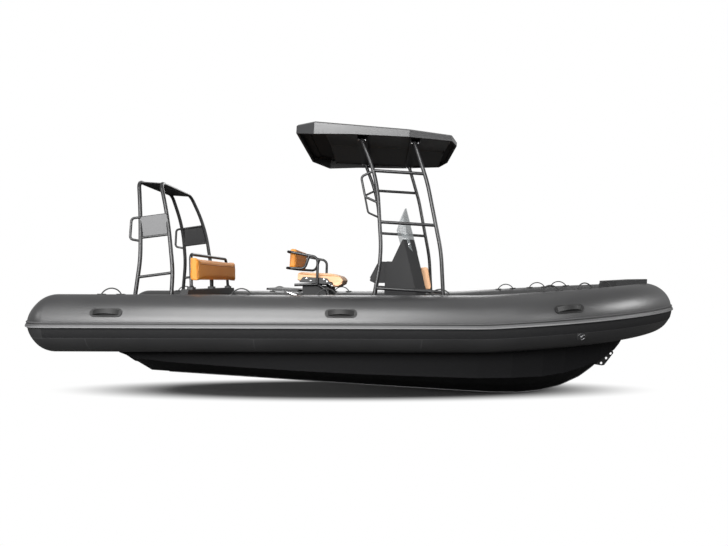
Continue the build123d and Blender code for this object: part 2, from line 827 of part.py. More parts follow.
def make_lid(x0, x1, half, z0, thick):
    """A flat lid panel with rounded corners."""
    lid = block(x0, x1, -half, half, z0, z0 + thick)
    return fillet(lid.edges().filter_by(Axis.Z), 20)


LID_FRONT = 30
FORE_HINGE_Y = (-200, 200)
fore_box = hinged_box(FORE_SEAT_X0, FORE_SEAT_X1, FORE_SEAT_HALF, FORE_SEAT_Z, SEAT_WALL, FORE_HINGE_Y)
save(fore_box, "fore_seat_box")
fore_lid = hinged_lid(FORE_SEAT_X0 + 30, FORE_SEAT_X1, FORE_SEAT_HALF, FORE_SEAT_Z, LID_FRONT, FORE_HINGE_Y)
save(fore_lid, "fore_seat_lid")
fore_cushion_z = FORE_SEAT_Z + LID_GAP + FORE_LID_T + SEAT_GAP
fore_cushion = soft_block(
    FORE_SEAT_X0 + 30,
    FORE_SEAT_X1 + LID_FRONT,
    FORE_SEAT_HALF + 10,
    fore_cushion_z,
    fore_cushion_z + FORE_CUSHION_T,
    40,
)
save(fore_cushion, "fore_seat_cushion")

# T-top: two bent legs a side, three rungs, a grab handle and a hard roof
LEG_BEND = 1500
TOP_Z = 2205
REAR_LEG = [
    # x, y, z up the port rear leg
    (-90, 665, SOLE_Z),
    (25, 650, 1080),
    (-65, 605, 1830),
    (-236, 560, TOP_Z),
]
FORE_LEG = [
    # x, y, z up the port fore leg
    (715, 665, SOLE_Z),
    (600, 647, 1150),
    (430, 606, 1815),
    (286, 560, TOP_Z),
]
RUNG_R = 16
RUNG_HEIGHTS = (758, 1404, 1906)
FOOT_R = 46
FOOT_T = 10
HANDLE_R = 12


def on_leg(leg, z):
    """Point on a leg's centreline at one height."""
    for low, high in zip(leg, leg[1:]):
        if low[2] <= z <= high[2]:
            share = (z - low[2]) / (high[2] - low[2])
            return tuple(a + (b - a) * share for a, b in zip(low, high))
    return leg[-1]


def make_ttop_side():
    """Port side of the T-top frame, welded up from tube."""
    pieces = [pipe(leg, LEG_R, LEG_BEND) for leg in (REAR_LEG, FORE_LEG)]
    for z in RUNG_HEIGHTS:
        pieces.append(rod(on_leg(REAR_LEG, z), on_leg(FORE_LEG, z), RUNG_R))
    grab = [
        (-100, 602, 1905),
        (-222, 602, 1838),
        (-170, 618, 1641),
        (-40, 620, 1591),
    ]
    pieces.append(pipe(grab, HANDLE_R, 40))
    for leg in (REAR_LEG, FORE_LEG):
        x, y, z = leg[0]
        pieces.append(Pos(x, y, z + FOOT_T / 2) * Cylinder(FOOT_R, FOOT_T))
    return whole(pieces) & block(-1000, 1500, 0, 900, SOLE_Z, TOP_Z)


ttop_port = make_ttop_side()
save(ttop_port, "ttop_frame_port")
save(mirrored(ttop_port), "ttop_frame_starboard")

ROOF_TOP_Z = 2296
ROOF_SKIN = 26
ROOF_STEP = 104
ROOF_PANEL_T = 16
ROOF_PLAN = [
    # x, half width
    (-877, 645),
    (-683, 810),
    (218, 742),
    (645, 624),
    (719, 396),
]
ROOF_RIM = [
    # x, z of the lower rim
    (-900, 2216),
    (-877, 2212),
    (-683, 2176),
    (-325, 2203),
    (218, 2221),
    (645, 2236),
    (719, 2247),
    (740, 2249),
]
CHANNEL_X = (-236, 286)
CHANNEL_W = 96
CHANNEL_HALF = 600
CHANNEL_WALL = 5


def roof_plan(inset):
    """The roof's plan outline, moved in from the rim."""
    starboard = [(x, -y) for x, y in ROOF_PLAN[::-1]]
    face = make_face(Polyline(*ROOF_PLAN, *starboard, close=True))
    return offset(face, amount=-inset) if inset else face


def make_roof():
    """Hard roof: a faceted fascia, a softened top edge and a hollow underside."""
    slab = extrude(Pos(0, 0, 2150) * roof_plan(0), amount=ROOF_TOP_Z - 2150)
    slab = chamfer(slab.edges().group_by(Axis.Z)[-1], 14)
    rim = side_plate(ROOF_RIM + [(740, 2100), (-900, 2100)], -900, 900)
    hollow = extrude(Pos(0, 0, 2150) * roof_plan(ROOF_SKIN), amount=ROOF_TOP_Z - ROOF_SKIN - 2150)
    step = extrude(Pos(0, 0, 2150) * roof_plan(ROOF_STEP), amount=ROOF_TOP_Z - ROOF_PANEL_T - 2150)
    return slab - rim - hollow - step


def make_channels():
    """Two mounting channels across the underside of the roof."""
    channels = []
    for x in CHANNEL_X:
        half = CHANNEL_W / 2
        top = ROOF_TOP_Z - ROOF_PANEL_T
        bar = block(x - half, x + half, -CHANNEL_HALF, CHANNEL_HALF, TOP_Z, top)
        slot = block(
            x - half + CHANNEL_WALL,
            x + half - CHANNEL_WALL,
            -CHANNEL_HALF - 1,
            CHANNEL_HALF + 1,
            TOP_Z + CHANNEL_WALL,
            top + 1,
        )
        channels.append(bar - slot)
    return group(channels)


save(make_roof(), "roof")
save(make_channels(), "roof_channels")

# Helm seat: box, tube rims, tilting seat with its backrest
HELM_X0 = -757
HELM_X1 = -490
HELM_HALF = 400
HELM_BOX_Z = 735
HELM_WALL = 14
RIM_Y = 415
RIM_PATH = [(-837, 735), (-602, 756), (-506, 700), (-474, 600), (-474, SOLE_Z)]
PAN_Z = 771
PAN_T = 12
SEAT_HALF = 430
SEAT_PROFILE = [
    # x, z of the seat cushion's side, from the pan round the rolled front
    (-822, PAN_Z + PAN_T + SEAT_GAP),
    (-448, PAN_Z + PAN_T + SEAT_GAP),
    (-440, 748),
    (-385, 737),
    (-345, 757),
    (-332, 806),
    (-362, 838),
    (-470, 866),
    (-822, 862),
]
RAIL_X = -920
BACK_X = RAIL_X + RAIL_R + SEAT_GAP
BACK_PROFILE = [(BACK_X + 60, 885), (BACK_X + 60, 1115), (BACK_X, 1115), (BACK_X, 885)]
BACK_HALF = 400
ARM_Y = 465
ARM_BEND = 60
BRACKET_X = (-752, -469)
BRACKET_SIDE = [(-787, 766), (-469, 766), (-508, 824), (-751, 824)]
HELM_HINGE = (-470, 762)
HELM_HINGE_Y = (-250, 250)


def make_helm_box():
    """Seat box under the helm seat, with the hinge risers on its front."""
    box = open_box(HELM_X0, HELM_X1, HELM_HALF, SOLE_Z, HELM_BOX_Z, HELM_WALL)
    x, z = HELM_HINGE

    def leaf(y0, y1):
        riser = block(HELM_X1 - 1, HELM_X1 + LEAF_T, y0, y1, HELM_BOX_Z - 60, z + 4)
        return riser + block(HELM_X1, x, y0, y1, z - 4, z + 4)

    for y in HELM_HINGE_Y:
        box = box + fixed_knuckles(x, z, y, leaf)
    return box


def make_helm_rims():
    """Bent tube rim on each side of the seat box."""
    rims = []
    for side in (1, -1):
        path = [(x, side * RIM_Y, z) for x, z in RIM_PATH]
        rims.append(pipe(path, RAIL_R, 30) & block(-1200, 0, -900, 900, SOLE_Z, 1200))
    return group(rims)


def make_helm_pan():
    """Seat pan with its side brackets, which carry the arm rail."""
    pan = block(BRACKET_X[0], BRACKET_X[1], -SEAT_HALF - 6, SEAT_HALF + 6, PAN_Z, PAN_Z + PAN_T)
    sides = []
    for side in (1, -1):
        y0, y1 = sorted((side * (SEAT_HALF + 6), side * (ARM_Y - RAIL_R)))
        sides.append(side_plate(BRACKET_SIDE, y0, y1))
    x, z = HELM_HINGE

    def web(ya, yb):
        return block(x - 6, BRACKET_X[1], ya, yb, z, PAN_Z + 1)

    knuckles = [moving_knuckle(x, z, y, web) for y in HELM_HINGE_Y]
    return whole([pan] + sides + knuckles)


def make_helm_rail():
    """Arm and back rail: an upper and a lower tube round the seat."""
    upper = [(-603, 760), (-612, 1028), (RAIL_X, 1068)]
    lower = [(-700, 1038), (-738, 903), (RAIL_X, 903)]
    tubes = []
    for half in (upper, lower):
        port = [(x, ARM_Y, z) for x, z in half]
        starboard = [(x, -ARM_Y, z) for x, z in half[::-1]]
        tubes.append(pipe(port + starboard, RAIL_R, ARM_BEND))
    ties = [rod((RAIL_X, y, 903), (RAIL_X, y, 1068), RAIL_R - 3) for y in (-200, 200)]
    return whole(tubes + ties)


def make_helm_back():
    """Backrest cushion."""
    back = side_plate(BACK_PROFILE, -BACK_HALF, BACK_HALF)
    return fillet(back.edges().filter_by(Axis.X), 40)


def make_helm_cushion():
    """Seat cushion with a rolled front edge."""
    return side_plate(SEAT_PROFILE, -SEAT_HALF, SEAT_HALF)


save(make_helm_box(), "helm_seat_box")
save(make_helm_rims(), "helm_seat_rims")
save(make_helm_pan(), "helm_seat_pan")
save(make_helm_rail(), "helm_seat_rail")
save(make_helm_cushion(), "helm_seat_cushion")
save(make_helm_back(), "helm_backrest")

# Shelf behind the helm seat, on two silver brackets
SHELF_X = (-1128, -779)
SHELF_Z = (667, 687)
SHELF_HALF = 390
BRACKET_Y = 300
BRACKET_LEAF = 6


def make_shelf():
    """Shelf board with rounded corners."""
    board = block(SHELF_X[0], SHELF_X[1], -SHELF_HALF, SHELF_HALF, SHELF_Z[0], SHELF_Z[1])
    return fillet(board.edges().filter_by(Axis.Z), 30)


def make_shelf_brackets():
    """Two brackets, each a wall leaf, a shelf leaf and a diagonal stay."""
    brackets = []
    wall = HELM_X0
    under = SHELF_Z[0]
    for y in (-BRACKET_Y, BRACKET_Y):
        leaf = block(wall - BRACKET_LEAF, wall, y - 20, y + 20, under - 90, under)
        arm = block(wall - 290, wall, y - 14, y + 14, under - BRACKET_LEAF, under)
        stay_line = [(wall, under - 78), (wall, under - 54), (-930, under), (-960, under)]
        stay = side_plate(stay_line, y - 4, y + 4)
        brackets.append(leaf + arm + stay)
    return group(brackets)


save(make_shelf(), "shelf")
save(make_shelf_brackets(), "shelf_brackets")

# Roll bar on the aft deck
HOOP_R = 19
HOOP_BEND = 110
LEG_EASE = 1400
BAR_TOP_Z = 1680
BAR_TOP_Y = 440
REAR_HOOP = [
    # x, y, z up the port side of the rear hoop
    (-2345, 655, AFT_DECK_Z),
    (-2322, 620, 900),
    (-2365, 577, 1320),
    (-2465, BAR_TOP_Y, BAR_TOP_Z),
]
FORE_HOOP = [
    # x, y, z up the port side of the fore hoop
    (-1985, 655, AFT_DECK_Z),
    (-1998, 622, 800),
    (-2100, 577, 1340),
    (-2245, BAR_TOP_Y, BAR_TOP_Z),
]
BAR_RUNGS = [
    # z on the rear leg, z on the fore leg, radius
    (718, 784, 14),
    (1104, 1157, 12),
    (1305, 1357, 10),
]
BAR_PANEL = [(-2364, 1305), (-2113, 1357), (-2046, 1157), (-2342, 1104)]
BAR_PANEL_Y = 586
BAR_PANEL_T = 8
RACK_T = 8


def make_hoop(side):
    """One hoop of the roll bar across the boat, its legs gently bowed."""
    starboard = [(x, -y, z) for x, y, z in side[::-1]]
    bends = [LEG_EASE] * (len(side) - 2) + [HOOP_BEND]
    return pipe(side + starboard, HOOP_R, bends + bends[::-1])


def make_roll_bar():
    """Two hoops, a rung and a grab loop on each side, and foot plates."""
    pieces = [make_hoop(REAR_HOOP), make_hoop(FORE_HOOP)]
    rungs = [rod(on_leg(REAR_HOOP, low), on_leg(FORE_HOOP, high), radius) for low, high, radius in BAR_RUNGS]
    grab_y = BAR_PANEL_Y + 6
    grab = pipe(
        [(-2360, grab_y - 4, 1306), (-2446, grab_y, 1290), (-2446, grab_y + 6, 1085), (-2340, grab_y + 14, 1073)],
        HANDLE_R,
        36,
    )
    sides = rungs + [grab]
    for hoop in (REAR_HOOP, FORE_HOOP):
        x, y, z = hoop[0]
        sides.append(Pos(x, y, z + FOOT_T / 2) * Cylinder(FOOT_R, FOOT_T))
    for piece in sides:
        pieces += [piece, mirrored(piece)]
    return whole(pieces) & block(-3000, -1500, -900, 900, AFT_DECK_Z, 1800)


def make_bar_panel(bar):
    """Side panel set between the legs of the roll bar, port side."""
    half = BAR_PANEL_T / 2
    panel = side_plate(BAR_PANEL, BAR_PANEL_Y - half, BAR_PANEL_Y + half) - bar
    return panel.solids().sort_by(SortBy.VOLUME)[-1]


def make_bar_rack(bar):
    """Dark plate across the top of the roll bar, between its hoops."""
    x0 = REAR_HOOP[-1][0]
    x1 = FORE_HOOP[-1][0]
    plate = block(x0, x1, -BAR_TOP_Y, BAR_TOP_Y, BAR_TOP_Z - RACK_T, BAR_TOP_Z)
    rack = plate - bar
    return rack.solids().sort_by(SortBy.VOLUME)[-1]


bar = make_roll_bar()
panel = make_bar_panel(bar)
save(bar, "roll_bar")
save(both_sides([panel]), "bar_panels")
save(make_bar_rack(bar), "bar_rack")

# Rear bench: box, lid, cushion, beam, hoop and backrest
BENCH_X0 = -1760
BENCH_X1 = -1360
BENCH_HALF = 560
BENCH_Z = 400
BEAM_X = (-1840, -1770)
BEAM_Z = (563, 633)
BEAM_HALF = 850
BEAM_TAPER = 50
BEAM_LEG_Y = 600
BEAM_LEG_W = 40
HOOP_FOOT = (-1800, 640, 633)
HOOP_HEAD = (-1838, 615, 975)
BACK_POST_R = 16
CLAMP_W = 90
CLAMP_T = 22
REST_Z = (715, 948)
REST_T = 66
REST_HALF = 705
REST_CORNER_Z = 100
REST_ROUND = 12


def make_beam():
    """Cross beam over the tubes, with tapered ends and two legs."""
    low, high = BEAM_Z
    top_half = BEAM_HALF - BEAM_TAPER
    outline = [(-BEAM_HALF, low), (BEAM_HALF, low), (top_half, high), (-top_half, high)]
    face = make_face(Polyline(*[(BEAM_X[0], y, z) for y, z in outline], close=True))
    beam = extrude(face, amount=BEAM_X[1] - BEAM_X[0], dir=(1, 0, 0))
    middle = (BEAM_X[0] + BEAM_X[1]) / 2
    half = BEAM_LEG_W / 2
    legs = []
    for y in (-BEAM_LEG_Y, BEAM_LEG_Y):
        legs.append(block(middle - half, middle + half, y - half, y + half, SOLE_Z, low))
    return whole([beam] + legs)


def make_bench_frame():
    """Backrest hoop with a middle post and three clamped feet."""
    x, y, z = HOOP_FOOT
    port = [HOOP_FOOT, HOOP_HEAD]
    starboard = [(a, -b, c) for a, b, c in port[::-1]]
    pieces = [pipe(port + starboard, BACK_POST_R, 60)]
    pieces.append(rod((x, 0, z), (HOOP_HEAD[0], 0, HOOP_HEAD[2]), BACK_POST_R))
    for foot_y in (-y, 0, y):
        half = CLAMP_W / 2
        pieces.append(block(x - 28, x + 28, foot_y - half, foot_y + half, z, z + CLAMP_T))
    return whole(pieces) & block(-1900, -1700, -900, 900, BEAM_Z[1], 1100)


def make_bench_rest():
    """Backrest cushion of the rear bench, resting on the posts."""
    back = []
    for z in REST_Z:
        share = (z - HOOP_FOOT[2]) / (HOOP_HEAD[2] - HOOP_FOOT[2])
        post_x = HOOP_FOOT[0] + share * (HOOP_HEAD[0] - HOOP_FOOT[0])
        back.append((post_x + BACK_POST_R + 2 * SEAT_GAP, z))
    profile = back + [(x + REST_T, z) for x, z in back[::-1]]
    rest = side_plate(profile, -REST_HALF, REST_HALF)
    middle = sum(REST_Z) / 2
    corners = []
    for edge in rest.edges():
        place = edge.center()
        at_end = abs(place.Y) > REST_HALF - 1
        if at_end and abs(place.Z - middle) > REST_CORNER_Z:
            corners.append(edge)
    return fillet(corners, REST_ROUND)


BENCH_HINGE_Y = (-400, 400)
bench_box = hinged_box(BENCH_X0, BENCH_X1, BENCH_HALF, BENCH_Z, SEAT_WALL, BENCH_HINGE_Y)
save(bench_box, "bench_box")
save(hinged_lid(BENCH_X0, BENCH_X1, BENCH_HALF, BENCH_Z, LID_FRONT, BENCH_HINGE_Y), "bench_lid")
bench_cushion_z = BENCH_Z + LID_GAP + FORE_LID_T + SEAT_GAP
bench_cushion = soft_block(
    BENCH_X0,
    BENCH_X1 + LID_FRONT,
    BENCH_HALF + 10,
    bench_cushion_z,
    bench_cushion_z + FORE_CUSHION_T,
    40,
)
save(bench_cushion, "bench_cushion")
save(make_beam(), "bench_beam")
save(make_bench_frame(), "bench_frame")
save(make_bench_rest(), "bench_backrest")
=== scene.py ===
import math

import bmesh
import bpy
from mathutils import Matrix, Vector


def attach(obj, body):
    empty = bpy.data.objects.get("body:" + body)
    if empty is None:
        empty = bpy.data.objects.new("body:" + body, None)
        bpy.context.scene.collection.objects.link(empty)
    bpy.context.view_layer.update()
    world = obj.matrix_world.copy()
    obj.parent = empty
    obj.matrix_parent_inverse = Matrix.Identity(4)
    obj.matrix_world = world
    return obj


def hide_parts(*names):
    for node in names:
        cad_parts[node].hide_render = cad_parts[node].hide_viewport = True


# Rigid inflatable boat on a white studio floor, seen square to its starboard side.
# Metres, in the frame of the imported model: +X is the bow, +Y port, +Z up.

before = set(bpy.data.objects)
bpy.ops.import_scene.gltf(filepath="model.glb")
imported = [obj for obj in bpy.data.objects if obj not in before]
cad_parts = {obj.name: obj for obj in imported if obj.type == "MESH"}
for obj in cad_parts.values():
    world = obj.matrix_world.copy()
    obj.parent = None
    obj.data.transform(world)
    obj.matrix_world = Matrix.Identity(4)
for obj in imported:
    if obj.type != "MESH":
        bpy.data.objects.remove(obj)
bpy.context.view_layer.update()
UP = Vector((0, 0, 1))
DOWN = Vector((0, 0, -1))


# Camera: square to the centreline plane, about level with the top of the tubes.
# Its axis meets the picture at AXIS_PX, and CENTRE_PX is the picture's middle.
PHOTO_W = 728
CAMERA_PLACE = (0.036, -6.0, 0.828)
FOCAL_PX = 551
AXIS_PX = (381.0, 281.2)
CENTRE_PX = (364, 273)
SENSOR_MM = 36
BOW_DOWN = math.radians(3.6)


def make_camera():
    """The photograph's camera, rolled because the boat lies bow down in it."""
    data = bpy.data.cameras.new("camera")
    data.sensor_width = SENSOR_MM
    data.lens = FOCAL_PX / PHOTO_W * SENSOR_MM
    data.shift_x = (CENTRE_PX[0] - AXIS_PX[0]) / PHOTO_W
    data.shift_y = (AXIS_PX[1] - CENTRE_PX[1]) / PHOTO_W
    camera = bpy.data.objects.new("camera", data)
    bpy.context.scene.collection.objects.link(camera)
    right = Vector((math.cos(BOW_DOWN), 0, math.sin(BOW_DOWN)))
    up = Vector((-math.sin(BOW_DOWN), 0, math.cos(BOW_DOWN)))
    back = Vector((0, -1, 0))
    turn = Matrix((right, up, back)).transposed().to_4x4()
    camera.matrix_world = Matrix.Translation(CAMERA_PLACE) @ turn
    bpy.context.scene.camera = camera


make_camera()


# Shader maths
class Flow:
    """A shader socket that takes part in Python expressions."""

    def __init__(self, finish, socket):
        self.finish = finish
        self.socket = socket

    def maths(self, operation, other=0, swapped=False):
        """One Math node on this socket and another value."""
        first, second = (other, self) if swapped else (self, other)
        values = {0: first, 1: second}
        return self.finish.add("ShaderNodeMath", {"operation": operation}, values)

    def __add__(self, other):
        return self.maths("ADD", other)

    def __radd__(self, other):
        return self.maths("ADD", other, True)

    def __sub__(self, other):
        return self.maths("SUBTRACT", other)

    def __rsub__(self, other):
        return self.maths("SUBTRACT", other, True)

    def __mul__(self, other):
        return self.maths("MULTIPLY", other)

    def __rmul__(self, other):
        return self.maths("MULTIPLY", other, True)

    def __truediv__(self, other):
        return self.maths("DIVIDE", other)

    def __rtruediv__(self, other):
        return self.maths("DIVIDE", other, True)

    def __pow__(self, other):
        return self.maths("POWER", other)

    def above(self, edge):
        """1 where the value is over the edge."""
        return self.maths("GREATER_THAN", edge)

    def most(self, other):
        """The larger of two values."""
        return self.maths("MAXIMUM", other)

    def least(self, other):
        """The smaller of two values."""
        return self.maths("MINIMUM", other)

    def size(self):
        """The value without its sign."""
        return self.maths("ABSOLUTE")

    def sine(self):
        """The sine of the value in radians."""
        return self.maths("SINE")

    def fraction(self):
        """What is left of the value over the whole number below it."""
        return self.maths("FRACT")

    def ease(self, low, high):
        """0 under low, 1 over high, and smooth between them."""
        settings = {"interpolation_type": "SMOOTHSTEP"}
        return self.finish.add("ShaderNodeMapRange", settings, {"Value": self, 1: low, 2: high})


# Colour sockets of a Mix node by number, because their names repeat
MIX_FIRST = 6
MIX_SECOND = 7
MIX_RESULT = 2


class Finish:
    """The shader nodes of one material or of the world."""

    def __init__(self, block):
        block.use_nodes = True
        self.block = block
        self.tree = block.node_tree
        self.tree.nodes.clear()

    def add(self, kind, settings=None, values=None, output=0):
        """One node: its settings first, then its input values or links."""
        node = self.tree.nodes.new(kind)
        for key, value in (settings or {}).items():
            setattr(node, key, value)
        for key, value in (values or {}).items():
            self.feed(node.inputs[key], value)
        return Flow(self, node.outputs[output]) if node.outputs else None

    def feed(self, socket, value):
        """Link a flow to a socket, or set the socket's own value."""
        if isinstance(value, Flow):
            self.tree.links.new(value.socket, socket)
        elif socket.type == "RGBA" and len(value) == 3:
            socket.default_value = (*value, 1)
        else:
            socket.default_value = value

    def place(self):
        """Object coordinates."""
        return self.add("ShaderNodeTexCoord", output="Object")

    def axes(self):
        """Object coordinates as three flows."""
        split = self.add("ShaderNodeSeparateXYZ", None, {0: self.place()})
        return [Flow(self, output) for output in split.socket.node.outputs]

    def grain(self, scale, detail=2, roughness=0.5, stretch=(1, 1, 1)):
        """Noise from 0 to 1, with features of about 1 / scale metres."""
        where = self.add("ShaderNodeMapping", None, {"Vector": self.place(), "Scale": stretch})
        values = {"Vector": where, "Scale": scale, "Detail": detail, "Roughness": roughness}
        return self.add("ShaderNodeTexNoise", None, values)

    def cells(self, scale, feature="F1"):
        """Distance to the nearest of scattered points, scale per metre."""
        values = {"Vector": self.place(), "Scale": scale}
        return self.add("ShaderNodeTexVoronoi", {"feature": feature}, values, "Distance")

    def blend(self, share, first, second):
        """A colour between two colours."""
        values = {"Factor": share, MIX_FIRST: first, MIX_SECOND: second}
        return self.add("ShaderNodeMix", {"data_type": "RGBA"}, values, MIX_RESULT)

    def relief(self, height, distance, strength):
        """A normal from a height from 0 to 1 over a distance in metres."""
        values = {"Height": height, "Distance": distance, "Strength": strength}
        return self.add("ShaderNodeBump", None, values, "Normal")

    def shade(self, **values):
        """The surface from its inputs by name; gives the finished material."""
        inputs = {}
        for key, value in values.items():
            inputs[key.replace("_", " ").title().replace("Ior", "IOR")] = value
        self.put_out(self.add("ShaderNodeBsdfPrincipled", None, inputs))
        return self.block

    def put_out(self, surface):
        """Link a surface to the material's output."""
        self.add("ShaderNodeOutputMaterial", None, {"Surface": surface})


def new_finish(name):
    """A new material, with no nodes yet."""
    return Finish(bpy.data.materials.new(name))


# Line of the tubes: its knee, and its slopes aft and forward of the knee
KNEE_X = 1.000
KNEE_Z = 0.4974
AFT_SLOPE = math.tan(math.radians(3.4))
BOW_SLOPE = math.tan(math.radians(7.0))
STRIPE_EDGE = 0.002


def over_tube(paint):
    """Height above the tubes' own centreline, as a flow."""
    x, _, z = paint.axes()
    aft = (x - KNEE_X).least(0.0) * AFT_SLOPE
    fore = (x - KNEE_X).most(0.0) * BOW_SLOPE
    return z - (aft + fore + KNEE_Z)


def stripe(height, middle, half):
    """1 within half of the middle height, 0 beyond its soft edge."""
    return 1.0 - (height - middle).size().ease(half, half + STRIPE_EDGE)


def grey(level, blue=None):
    """A neutral colour, with its own level of blue where one is given."""
    return (level, level, level if blue is None else blue)


# Tube fabric: a seam along the tube, painted light as a highlight just under the wear band's
# edge, and laps across its lower side
SEAM_HIGHLIGHT_HEIGHT = -0.118
SEAM_HIGHLIGHT_HALF = 0.0022
SEAM_HIGHLIGHT_AND_LAP_COLOUR = grey(0.050, 0.051)
LAP_SPACING = 1.46
LAP_SHIFT = 0.21
LAP_HALF = 0.0028
LAP_TOP = -0.04


def coated_fabric(name, colour, worn):
    """Tube fabric: satin coating over a weave, with glued seams and laps, the seams painted
    light as a highlight.
    """
    paint = new_finish(name)
    mottle = paint.grain(2.3, 3)
    fine = paint.grain(60, 3)
    weave = paint.grain(1400, 1)
    x = paint.axes()[0]
    height = over_tube(paint)
    seam_highlight = stripe(height, SEAM_HIGHLIGHT_HEIGHT, SEAM_HIGHLIGHT_HALF)
    beat = (x / LAP_SPACING + LAP_SHIFT).fraction()
    low_side = 1.0 - height.above(LAP_TOP)
    lap = stripe(beat * LAP_SPACING, LAP_SPACING / 2, LAP_HALF) * low_side
    seam_highlight_and_lap = seam_highlight.most(lap)
    tone = paint.blend(mottle.ease(0.3, 0.75) * 0.8 + fine * 0.2, colour, worn)
    # The seam painted light as a highlight, and the laps in the same colour
    tone = paint.blend(seam_highlight_and_lap * 0.55, tone, SEAM_HIGHLIGHT_AND_LAP_COLOUR)
    bumps = weave * 0.12 + paint.grain(240, 2) * 0.05 + seam_highlight_and_lap * 0.8
    return paint.shade(
        base_color=tone,
        roughness=0.37 + mottle * 0.05 + fine * 0.05,
        specular_ior_level=0.55,
        coat_weight=0.28,
        coat_roughness=0.3,
        normal=paint.relief(bumps, 0.0022, 0.5),
    )


# Rub strake, heights over the tubes' centreline: its ridge with a painted highlight, its groove
# with painted shade, and below that the painted shade under its lip
RIDGE_HEIGHT = -0.019
RIDGE_HALF = 0.0045
GROOVE_HEIGHT = 0.008
GROOVE_HALF = 0.004
UNDER_HEIGHT = -0.026


def lipped_rubber(name, colour, worn, highlight_colour, dark):
    """Rub strake, scuffed: its ridge painted pale as a highlight, its groove and the underside
    of its lip painted dark as shade.
    """
    paint = new_finish(name)
    scuff = paint.grain(35, 4, 0.65, (1, 3, 3))
    height = over_tube(paint)
    ridge_highlight = stripe(height, RIDGE_HEIGHT, RIDGE_HALF)
    groove_shade = stripe(height, GROOVE_HEIGHT, GROOVE_HALF)
    below = 1.0 - height.above(UNDER_HEIGHT)
    tone = paint.blend(scuff.ease(0.45, 0.8), colour, worn)
    # Painted highlight on the ridge, painted shade in the groove and under the lip
    tone = paint.blend(ridge_highlight * 0.9, tone, highlight_colour)
    tone = paint.blend(groove_shade * 0.9, tone, dark)
    tone = paint.blend(below * 0.9, tone, dark)
    return paint.shade(
        base_color=tone,
        roughness=0.46 + scuff * 0.12,
        normal=paint.relief(paint.grain(900, 1), 0.0005, 0.6),
    )


def moulded_rubber(name, colour, worn, rough, shine=0.3):
    """Moulded rubber with a dull skin and scuffs."""
    paint = new_finish(name)
    scuff = paint.grain(35, 4, 0.65, (1, 3, 3))
    return paint.shade(
        base_color=paint.blend(scuff.ease(0.45, 0.8), colour, worn),
        roughness=rough + scuff * 0.12,
        specular_ior_level=shine,
        normal=paint.relief(paint.grain(900, 1), 0.0005, 0.6),
    )


def gelcoat(name, colour, worn, rough, shine=0.5, coat=0.0):
    """Gel coat over laminate: smooth, slightly wavy, with hairline wear."""
    paint = new_finish(name)
    wave = paint.grain(7, 2)
    haze = paint.grain(90, 3, 0.6, (0.3, 1, 1))
    peel = paint.grain(420, 1)
    return paint.shade(
        base_color=paint.blend(haze.ease(0.5, 0.85), colour, worn),
        roughness=rough + haze * 0.12,
        specular_ior_level=shine,
        coat_weight=coat,
        coat_roughness=0.12,
        normal=paint.relief(wave * 0.8 + peel * 0.2, 0.0012, 0.35),
    )


TREAD_PITCH = 0.028


def tread(name, colour, worn):
    """Non-slip moulded sole: small raised diamonds on a satin ground."""
    paint = new_finish(name)
    x, y = paint.axes()[:2]
    per_metre = math.pi / TREAD_PITCH
    rise = ((x + y) * per_metre).sine() * ((x - y) * per_metre).sine()
    stud = rise.ease(0.15, 0.45)
    dust = paint.grain(12, 4)
    return paint.shade(
        base_color=paint.blend(dust.ease(0.4, 0.8) * 0.6 + stud * 0.3, colour, worn),
        roughness=0.62 + dust * 0.1,
        normal=paint.relief(stud + paint.grain(800, 1) * 0.2, 0.0012, 0.7),
    )


def powder_coat(name, colour, worn, rough):
    """Powder coat on metal tube: fine orange peel and a soft sheen."""
    paint = new_finish(name)
    rub = paint.grain(25, 4, 0.6)
    return paint.shade(
        base_color=paint.blend(rub.ease(0.5, 0.85), colour, worn),
        roughness=rough + rub * 0.08,
        specular_ior_level=0.45,
        normal=paint.relief(paint.grain(650, 2), 0.0004, 0.12),
    )


def marine_vinyl(name, colour, worn):
    """Upholstery vinyl with a pebbled grain."""
    paint = new_finish(name)
    pebble = paint.cells(560, "SMOOTH_F1")
    crease = paint.grain(38, 3, 0.6, (1, 1, 2))
    cloud = paint.grain(5, 2)
    wear = cloud.ease(0.3, 0.8) * 0.6 + crease.ease(0.55, 0.8) * 0.4
    return paint.shade(
        base_color=paint.blend(wear, colour, worn),
        roughness=0.48 + crease * 0.1,
        specular_ior_level=0.3,
        normal=paint.relief(pebble * 0.75 + crease * 0.25, 0.0011, 0.55),
    )


def stainless(name, colour, rough):
    """Polished stainless steel with fine drawn lines."""
    paint = new_finish(name)
    lines = paint.grain(300, 2, 0.5, (1, 1, 0.08))
    return paint.shade(
        base_color=colour,
        metallic=1.0,
        roughness=rough + lines * 0.14,
        normal=paint.relief(lines, 0.0002, 0.3),
    )


# Half way through the thickness of the roll bar's side panels
PANEL_MIDDLE_Y = 0.586


def panel_sheet(name, outer, inner):
    """Sheet with a grey outer face and a dark inner face, satin on both."""
    paint = new_finish(name)
    outside = paint.axes()[1].size().above(PANEL_MIDDLE_Y)
    return paint.shade(
        base_color=paint.blend(outside, inner, outer),
        roughness=0.45 + paint.grain(25, 4, 0.6) * 0.1,
        specular_ior_level=0.22,
        normal=paint.relief(paint.grain(650, 2), 0.0004, 0.5),
    )


ROOF_EDGES = [
    # half width at x = 0 and its change with x, along each edge of the roof's plan
    (1.390, 0.851),
    (0.7585, -0.0755),
    (0.8022, -0.2763),
    (2.611, -3.081),
]
ROOF_RIM_T = 0.013
ROOF_UNDER_Z = 2.288


